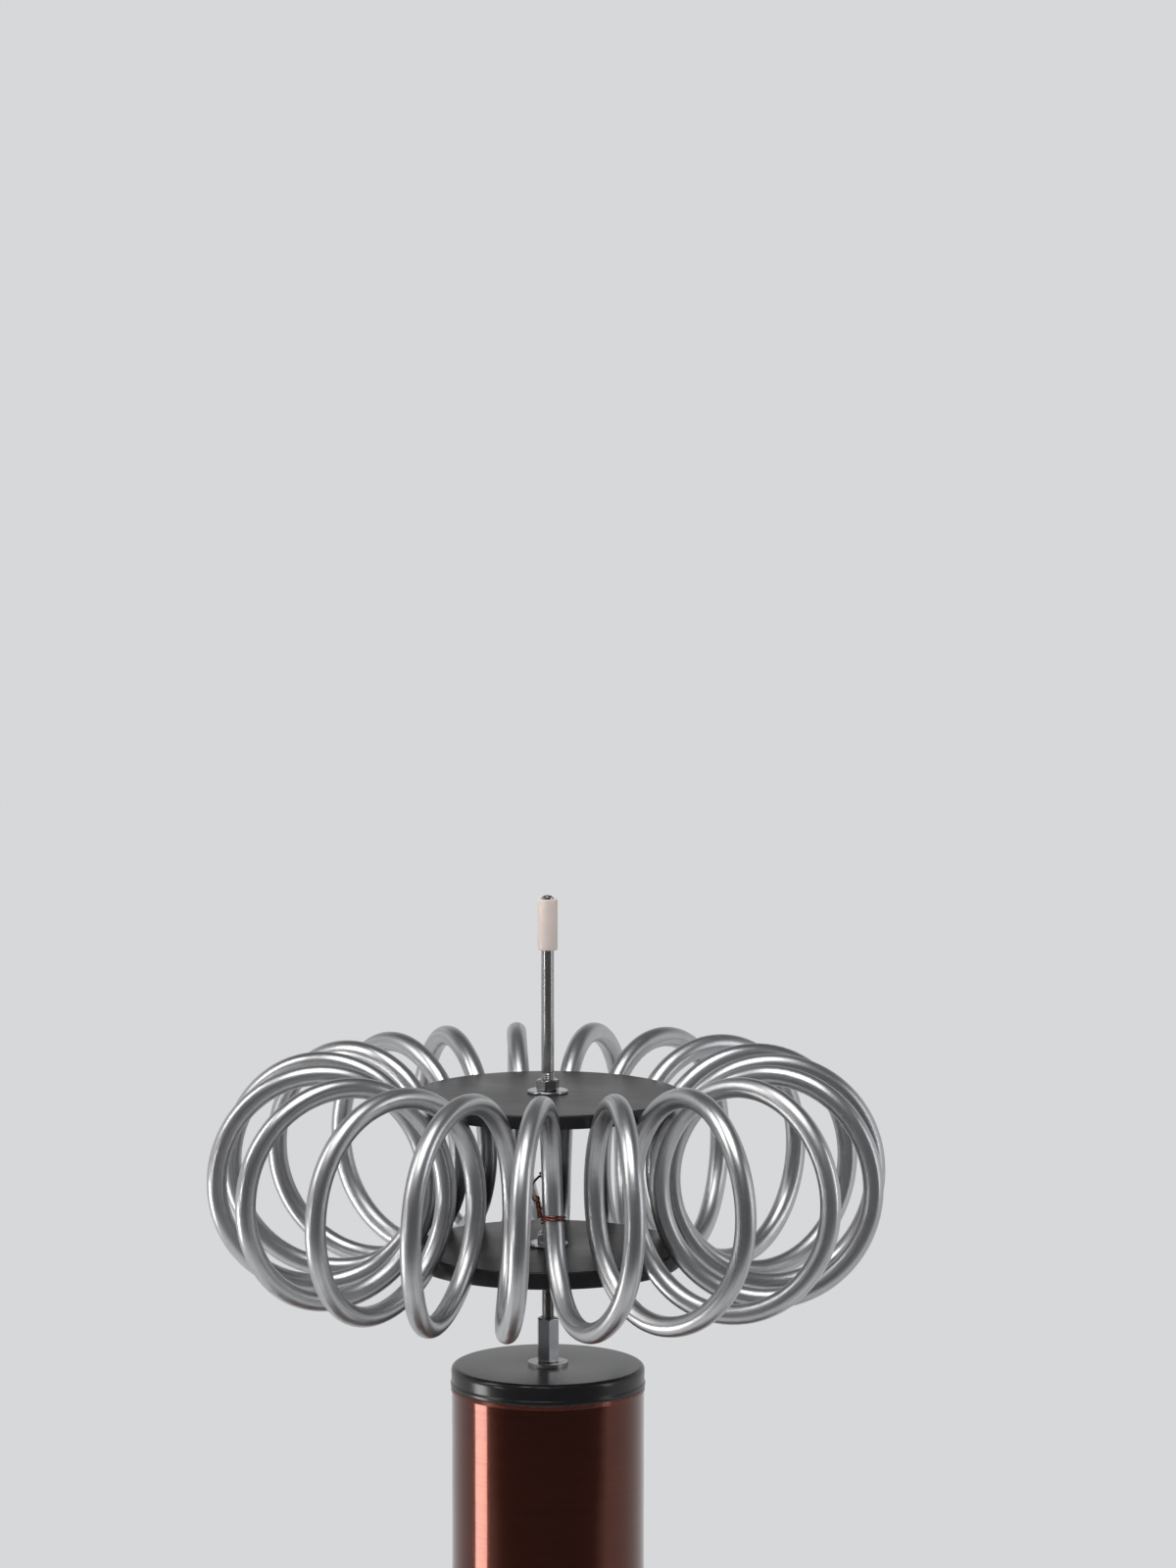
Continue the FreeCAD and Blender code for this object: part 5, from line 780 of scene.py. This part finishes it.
COIL_HIGH, FIRST, STEP = 113.0, 60.0, 5.0
INNER_END, OUTER_END = 57.5, 107.5
half = np.arange(10)
steps = np.linspace(0.0, math.pi, 61)[:-1]
sign = np.where(half % 2 == 0, 1.0, -1.0)[:, None]
reach = (FIRST + STEP * half)[:, None]
spiral_x = (sign * (reach * np.cos(steps) - STEP / 2.0)).ravel()
spiral_x = np.concatenate([[INNER_END, INNER_END], spiral_x, [OUTER_END, OUTER_END]])
spiral_y = np.concatenate([[-10.0, -1.5], (sign * reach * np.sin(steps)).ravel(), [0.0, 10.0]])
spiral = np.stack([spiral_x, spiral_y, np.full(len(spiral_x), COIL_HIGH)], 1)
tube = swept(spiral * MM, 2.5 * MM, (0, 0, 1), 20)
piece("primary", [tube], copper, "bare_copper", "primary_coil")


def softened(solid, name, material, slot, width, segments=2, body="stand"):
    """A copy of a solid with its facets joined again, and its sharp edges rounded by a width in
    millimetres."""
    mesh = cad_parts[solid].data.copy()
    mesh.name = name
    form = bmesh.new()
    form.from_mesh(mesh)
    bmesh.ops.remove_doubles(form, verts=form.verts, dist=1e-6)
    bmesh.ops.dissolve_limit(form, angle_limit=math.radians(0.6), verts=form.verts,
                             edges=form.edges)
    form.to_mesh(mesh)
    form.free()
    mesh.shade_smooth()
    mesh.set_sharp_from_angle(angle=math.radians(30.0))
    made = bpy.data.objects.new(name, mesh)
    edges = made.modifiers.new("edges", "BEVEL")
    edges.width, edges.segments, edges.limit_method = width * MM, segments, "ANGLE"
    edges.angle_limit = math.radians(35.0)
    edges.harden_normals = True
    return hang(made, material, body, slot, solid)


comb_plastic = moulded("comb_plastic", (0.80, 0.80, 0.775), 0.42, 2600.0, dusty=0.3)
softened("coil_combs", "combs", comb_plastic, "comb_plastic", 0.35)
brass = turned_metal("clamp_brass", (0.72, 0.53, 0.24), 0.27)
softened("coil_clamps", "clamps", brass, "brass_parts", 0.4)
dress(rubber, "lead_grommets")

diagonal = math.sqrt(0.5)
long_screw, short_screw = socket_screw(10.0), socket_screw(2.3)
COMB_FOOT, TAG_TOP, CLAMP_TOP = 107.0, 110.8, 118.0
circles = ((42.0, FLANGE_TOP), (55.0, COMB_FOOT), (115.0, COMB_FOOT))
forms = [facing(long_screw, "up", radius * diagonal * sx, radius * diagonal * sy, z)
         for radius, z in circles for sx, sy in FOUR]
seats = ((-42.0, 0.0, TAG_TOP), (INNER_END, -6.0, CLAMP_TOP), (OUTER_END, 6.0, CLAMP_TOP))
forms += [facing(short_screw, "up", *seat) for seat in seats]
piece("coil_bolts", forms, zinc, "zinc_steel", "coil_screws")

# --------
# Driver electronics. One green board on spacers, with a finned black heat sink and its four power
# devices, two smoothing cans, four red film blocks, ring transformers, a small supply and chips.
board_green, tree, shader = finish("board_lacquer", (0.02, 0.17, 0.075), 0.34, Coat_Weight=0.4,
                                   Coat_Roughness=0.12)
place = spot(tree)
greens = {"Color1": (0.015, 0.145, 0.062, 1.0), "Color2": (0.022, 0.185, 0.082, 1.0),
          "Mortar": (0.030, 0.235, 0.11, 1.0)}
laid = {"Vector": place, "Scale": 190.0, "Mortar Size": 0.055}
weave = node(tree, "TexBrick", laid | greens).outputs
lands = node(tree, "TexVoronoi", {"Vector": place, "Scale": 150.0}).outputs["Distance"]
pads = ranged(lands, 0.14, 0.17, 1.0, 0.0)
link(shader, Base_Color=mixed(pads, weave["Color"], (0.62, 0.60, 0.56)), Metallic=pads,
     Normal=bumped(weave["Fac"], 0.03 * MM, 0.5))
dress(board_green, "driver_board")
dress(brass, "board_spacers")
dress(zinc, "board_screws")
sink_black = turned_metal("anodised_sink", (0.045, 0.045, 0.048), 0.42, 0.35, 2400.0)
softened("heat_sink", "fins", sink_black, "sink_black", 0.25)
epoxy = moulded("moulded_epoxy", (0.022, 0.022, 0.024), 0.48, 3000.0)
softened("power_transistors", "power_devices", epoxy, "chip_black", 0.15, 1)
softened("board_chips", "chips", epoxy, "chip_black", 0.35)
film_red = moulded("potted_film_block", (0.46, 0.055, 0.035), 0.28, 900.0, Coat_Weight=0.3)
softened("tank_capacitors", "film_blocks", film_red, "film_box", 1.0)
ferrite = moulded("coated_ferrite", (0.075, 0.17, 0.10), 0.45, 2200.0)
softened("ring_transformers", "rings", ferrite, "ferrite", 0.8, 3)
tape = moulded("winding_tape", (0.72, 0.56, 0.12), 0.32, 500.0)
softened("control_supply", "supply", tape, "supply_yellow", 1.2, 3)
can_sleeve = moulded("can_sleeve", (0.022, 0.038, 0.115), 0.24, 400.0, Coat_Weight=0.4)
low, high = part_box("bus_capacitors")
CAN, CAN_LOW = 15.0, 21.6
can_x, can_y = (low.x + high.x) / 2.0 / MM, high.y / MM - CAN
can = [(0.3, 64.9), (13.2, 64.9), (14, 65.6), (CAN, 65.6), (CAN, 60.2), (14.4, 59.4), (CAN, 58.6),
       (CAN, CAN_LOW), (0.3, CAN_LOW)]
cans = [lathed(can, (0, 0.4, 0.3, 0.8, 0.6, 0.6, 0.6, 0.8, 0), sides=64, solid=True, x=can_x,
               y=side * can_y) for side in (-1, 1)]
piece("cans", cans, can_sleeve, "can_sleeve", "bus_capacitors")

# --------
# Fan. A 60 mm axial fan behind its opening in the left wall: a moulded frame, a rotor of seven
# twisted blades round a cup hub, and a chromed finger guard, held by four long screws.
AXIS = 54.0
HUB_START, HUB_LONG = -121.0, 14.0
fan_plastic = moulded("fan_plastic", (0.020, 0.020, 0.021), 0.40, 2800.0, dusty=0.3)
softened("fan_frame", "fan_case", fan_plastic, "fan_black", 0.5)
hub = [(0.3, 0), (13, 0), (13, HUB_LONG), (11.2, HUB_LONG), (11.2, 1.6), (0.3, 1.6)]
hub = lathed(hub, (0, 1.5, 0.3, 0.3, 0.5, 0), sides=72, solid=True)
pin = [(0.1, 1.5), (1.5, 1.5), (1.5, 17), (0.1, 17)]
pin = lathed(pin, (0, 0, 0.4, 0), sides=24, solid=True)
span = np.linspace(0.0, 1.0, 14)[:, None]
round_chord = spread(28)[None]
BLADE_FOOT, BLADE_LONG, HALF_CHORD = 12.6, 14.7, 6.3
reach = BLADE_FOOT + BLADE_LONG * span
chord = (HALF_CHORD + 0.9 * span) * np.cos(round_chord)
thick = (0.62 - 0.18 * span) * np.sin(round_chord) * (1.0 - 0.35 * np.cos(round_chord))
camber = 1.5 * (1.0 - (chord / 7.0) ** 2) - 0.8
LEAN, TWIST = 38.0, 22.0
lean = np.radians(LEAN + TWIST * span)
axial = chord * np.cos(lean) + (thick + camber) * np.sin(lean)
tangent = -chord * np.sin(lean) + (thick + camber) * np.cos(lean)
wheel = [facing(form, "right", HUB_START, 0.0, AXIS) for form in (hub, pin)]
BLADES = 7
for turn in spread(BLADES):
    angle = turn + tangent / reach + 0.16 * span ** 2
    wheel.append(surface(np.stack([HUB_START + HUB_LONG / 2.0 + axial, reach * np.cos(angle),
                                   AXIS + reach * np.sin(angle)], -1) * MM))
piece("fan_wheel", wheel, fan_plastic, "fan_black", "fan_rotor", body="rotor")
chrome = turned_metal("chromed_wire", (0.70, 0.70, 0.715), 0.12, deep=0.001 * MM)
dress(chrome, "fan_guard")

# --------
# Controls. On the front: a red rocker switch in a black bezel, a red push button, a green lamp, an
# audio socket, and two fluted knobs with a white pointer over printed dials.
PANEL = -125.0
gloss_black = moulded("switch_plastic", (0.016, 0.016, 0.017), 0.26, 2600.0, dusty=0.1)
softened("switch_body", "switch_case", gloss_black, "socket_black", 0.5, 3)
glossy = {"per_metre": 1500.0, "deep": 0.01 * MM, "dusty": 0.05, "Coat_Weight": 0.3}
rocker_red = moulded("rocker_plastic", (0.42, 0.018, 0.014), 0.24, **glossy)
softened("switch_rocker", "rocker_cap", rocker_red, "rocker_red", 0.6, 3, "rocker")
white_print, tree, shader = finish("white_print", (0.78, 0.78, 0.76), 0.5)
ink = noise(spot(tree), 1400.0, 3.0)
link(shader, Base_Color=mixed(ink, (0.70, 0.70, 0.68), (0.84, 0.84, 0.82)))


def bar(wide, near, far, low, high, turn=0.0):
    """A thin straight bar in millimetres: one rectangle over another, turned about its Z."""
    side, cos, sin = wide / 2.0, math.cos(turn), math.sin(turn)
    square = [(-side, near), (side, near), (side, far), (-side, far)]
    points, *rest = surface(np.stack([np.insert(square, 2, level, 1) for level in (low, high)]))
    return (points @ np.array([(cos, sin, 0), (-sin, cos, 0), (0, 0, 1)]), *rest)


SWITCH, BUTTON, LAMP = -90.0, -52.0, -22.0
HALF_LONG, HALF_DEEP, FACE_OUT = 8.5, 2.1, 4.45
half_face = math.atan2(HALF_DEEP, HALF_LONG)
lean = math.radians(10.0)
marks = []
ring = turned([(1.35, -0.02), (1.95, -0.02), (1.95, 0.06), (1.35, 0.06)], sides=48)
for way, form in ((1.0, bar(1.0, -1.9, 1.9, -0.02, 0.06)), (-1.0, ring)):
    x, y, z = form[0].T
    turn = way * half_face
    up = y * math.cos(turn) - z * math.sin(turn) + way * HALF_LONG / 2.0
    out = y * math.sin(turn) + z * math.cos(turn) + FACE_OUT
    high = up * math.cos(lean) + out * math.sin(lean)
    forward = out * math.cos(lean) - up * math.sin(lean)
    marks.append((np.stack([x + SWITCH, PANEL - forward, AXIS + high], 1) * MM, *form[1:]))
piece("rocker_marks", marks, white_print, "rocker_red", body="rocker")


def on_panel(form, x, out=0.0):
    """The same skin on the front wall, at a place along it and some way out."""
    return facing(form, "front", x, PANEL - out, AXIS)


softened("button_body", "button_case", gloss_black, "socket_black", 0.5, 3)
button_red = moulded("button_plastic", (0.45, 0.020, 0.015), 0.22, **glossy)
cap = [(0.2, 5.5), (2.6, 5.6), (4, 6), (4, -7), (0.2, -7)]
cap = on_panel(lathed(cap, (0, 1.0, 0.7, 0.3, 0), sides=64, solid=True), BUTTON)
piece("button_top", [cap], button_red, "button_red", "button_cap", body="button")

lens, tree, shader = finish("green_lens", (0.05, 0.42, 0.10), 0.10, Transmission_Weight=0.65,
                            IOR=1.49, Coat_Weight=0.5)
ribs = noise(spot(tree), 900.0, 1.0)
link(shader, Base_Color=mixed(ribs, (0.03, 0.34, 0.07), (0.07, 0.50, 0.13)),
     Normal=bumped(ribs, 0.05 * MM, 0.4))
t = np.linspace(0.0, 0.97, 9)[::-1] * math.pi / 2.0
dome = np.stack([2.5 * np.cos(t), 0.5 + 2.0 * np.sin(t)], 1)
dome = np.vstack([dome, [(2.5, 0.0), (2.5, -6.3), (2.3, -6.5)]])
dome = on_panel(turned(dome * MM, sides=48, solid=True), LAMP)
piece("lamp_dome", [dome], lens, "lamp_green", "lamp_lens")
bezel = [(2.56, 1.5), (3.6, 1.5), (4.5, 0.6), (4.5, 0), (3, 0), (3, -6), (2.56, -6)]
bezel = on_panel(lathed(bezel, (0.1, 0.3, 0.2, 0.05, 0.05, 0.1, 0.1), sides=64), LAMP)
piece("lamp_ring", [bezel], chrome, "zinc_steel", "lamp_bezel")
softened("audio_jack", "jack_case", gloss_black, "socket_black", 0.35)

knob_plastic = moulded("knob_plastic", (0.020, 0.020, 0.021), 0.36, 3200.0, dusty=0.08, worn=0.5)
# A knob is hollow underneath. Its rows of reach, height and depth of flute run from the bore over
# the hollow's roof, round the skirt, and up the fluted grip to the dished face.
FLUTES, FLUTE_DEEP, SIDES = 12, 0.75, 144
flute = np.clip(np.cos(FLUTES * spread(SIDES)), 0.0, 1.0) ** 1.5
rows = np.array([
    (3.05, 12.05, 0), (3.05, 4.2, 0), (3.3, 4, 0), (8.7, 4, 0), (9, 3.7, 0), (9, 0.25, 0),
    (9.25, 0, 0), (10.7, 0, 0), (11, 0.3, 0), (11, 3.4, 0), (10.85, 4, 0), (9.8, 5.3, 0),
    (9.35, 5.7, 0.1), (9.1, 6.2, 0.7), (9, 6.8, 1), (9, 12.2, 1), (8.93, 12.9, 0.9),
    (8.7, 13.4, 0.6), (8.3, 13.8, 0.25), (7.7, 14, 0), (6.9, 13.95, 0), (6.5, 13.7, 0),
    (0.2, 13.7, 0)])
knob = surface(around(rows[:, :1] - FLUTE_DEEP * rows[:, 2:] * flute, rows[:, 1:2], SIDES) * MM)


def flat_print(form, x, out=0.0):
    """A mark in millimetres, laid flat on the front wall."""
    return on_panel((form[0] * MM, *form[1:]), x, out)


SEAT = 0.6
KNOBS = {"rate": 46.0, "power": 92.0}
DIAL = [math.radians(-140.0 + 28.0 * value) for value in range(11)]
for name, x in KNOBS.items():
    body = name + "_control"
    grip = on_panel(knob, x, SEAT)
    piece(name + "_grip", [grip], knob_plastic, "knob_black", name + "_knob", body=body)
    pointer = flat_print(bar(1.1, 1.0, 8.6, 13.66, 14.06, -DIAL[0]), x, SEAT)
    piece(name + "_pointer", [pointer], white_print, "knob_black", body=body)
dress(turned_metal("shaft_steel", (0.55, 0.55, 0.555), 0.3), "rate_shaft", "power_shaft")
dress(tinned, "control_cases")
TICKS_START, FIGURES = 12.6, 17.6
ticks = [bar(0.44, TICKS_START, TICKS_START + (1.8 if value % 5 else 2.6), -0.01, 0.04, -turn)
         for value, turn in enumerate(DIAL)]
ticks = [flat_print(tick, x) for x in KNOBS.values() for tick in ticks]
piece("dial_ticks", ticks, white_print, "shell_paint")

# The figures round the dials are printed: text, laid on the panel and joined in one thin mesh.
form = bmesh.new()
for x in KNOBS.values():
    for value, turn in enumerate(DIAL):
        curve = bpy.data.curves.new("dial_figures", "FONT")
        curve.body, curve.size, curve.extrude = str(value), 3.0 * MM, 0.02 * MM
        curve.align_x, curve.align_y = "CENTER", "CENTER"
        curve.resolution_u = 3
        item = bpy.data.objects.new("dial_figures", curve)
        mesh = bpy.data.meshes.new_from_object(item)
        points = np.empty(len(mesh.vertices) * 3, np.float32)
        mesh.vertices.foreach_get("co", points)
        across, up = x + FIGURES * math.sin(turn), AXIS + FIGURES * math.cos(turn)
        points, = facing((points.reshape(-1, 3),), "front", across, PANEL - 0.02, up)
        mesh.vertices.foreach_set("co", points.ravel())
        form.from_mesh(mesh)
        bpy.data.objects.remove(item)
        bpy.data.meshes.remove(mesh)
bmesh.ops.remove_doubles(form, verts=form.verts, dist=1e-6)
bmesh.ops.recalc_face_normals(form, faces=form.faces)
mesh = bpy.data.meshes.new("dial_figures")
form.to_mesh(mesh)
form.free()
hang(bpy.data.objects.new("dial_figures", mesh), white_print, "stand", "shell_paint")

# --------
# Panel fixings. Button-head screws hold the guard and fan, and the inlet; flat nuts hold the audio
# socket and both controls.
fan_screw, inlet_screw = socket_screw(25.0), socket_screw(12.0)
GUARD_FACE, HALF_SIDE = -126.2, 25.0
INLET, INLET_FACE, HALF_SPAN = 60.0, 128.0, 20.0
forms = [facing(fan_screw, "left", GUARD_FACE, HALF_SIDE * sy, AXIS + HALF_SIDE * sz)
         for sy, sz in FOUR]
forms += [facing(inlet_screw, "back", INLET + HALF_SPAN * sx, INLET_FACE, AXIS) for sx in (-1, 1)]
piece("panel_bolts", forms, zinc, "zinc_steel", "panel_screws")
softened("panel_nuts", "nuts_on_panels", zinc, "zinc_steel", 0.25)

# --------
# Mains inlet. A moulded three-pin inlet in the rear wall, with a drawer for a glass fuse below the
# pins. Its two wires run along the floor of the housing to the switch, and on to the board.
softened("mains_inlet", "inlet_case", gloss_black, "socket_black", 0.5)
dress(tinned, "inlet_pins")
softened("fuse_drawer", "fuse_tray", gloss_black, "socket_black", 0.4, body="drawer")
glass, tree, shader = finish("fuse_tube", (0.86, 0.89, 0.89), 0.06, Transmission_Weight=0.8)
haze = noise(spot(tree), 500.0)
link(shader, Base_Color=mixed(haze, (0.80, 0.85, 0.85), (0.92, 0.93, 0.93)),
     Roughness=ranged(haze, 0.0, 1.0, 0.04, 0.14))
dress(glass, "fuse")
dress(moulded("wire_sleeve", (0.05, 0.05, 0.055), 0.42, 1500.0), "supply_wires")

low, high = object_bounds()
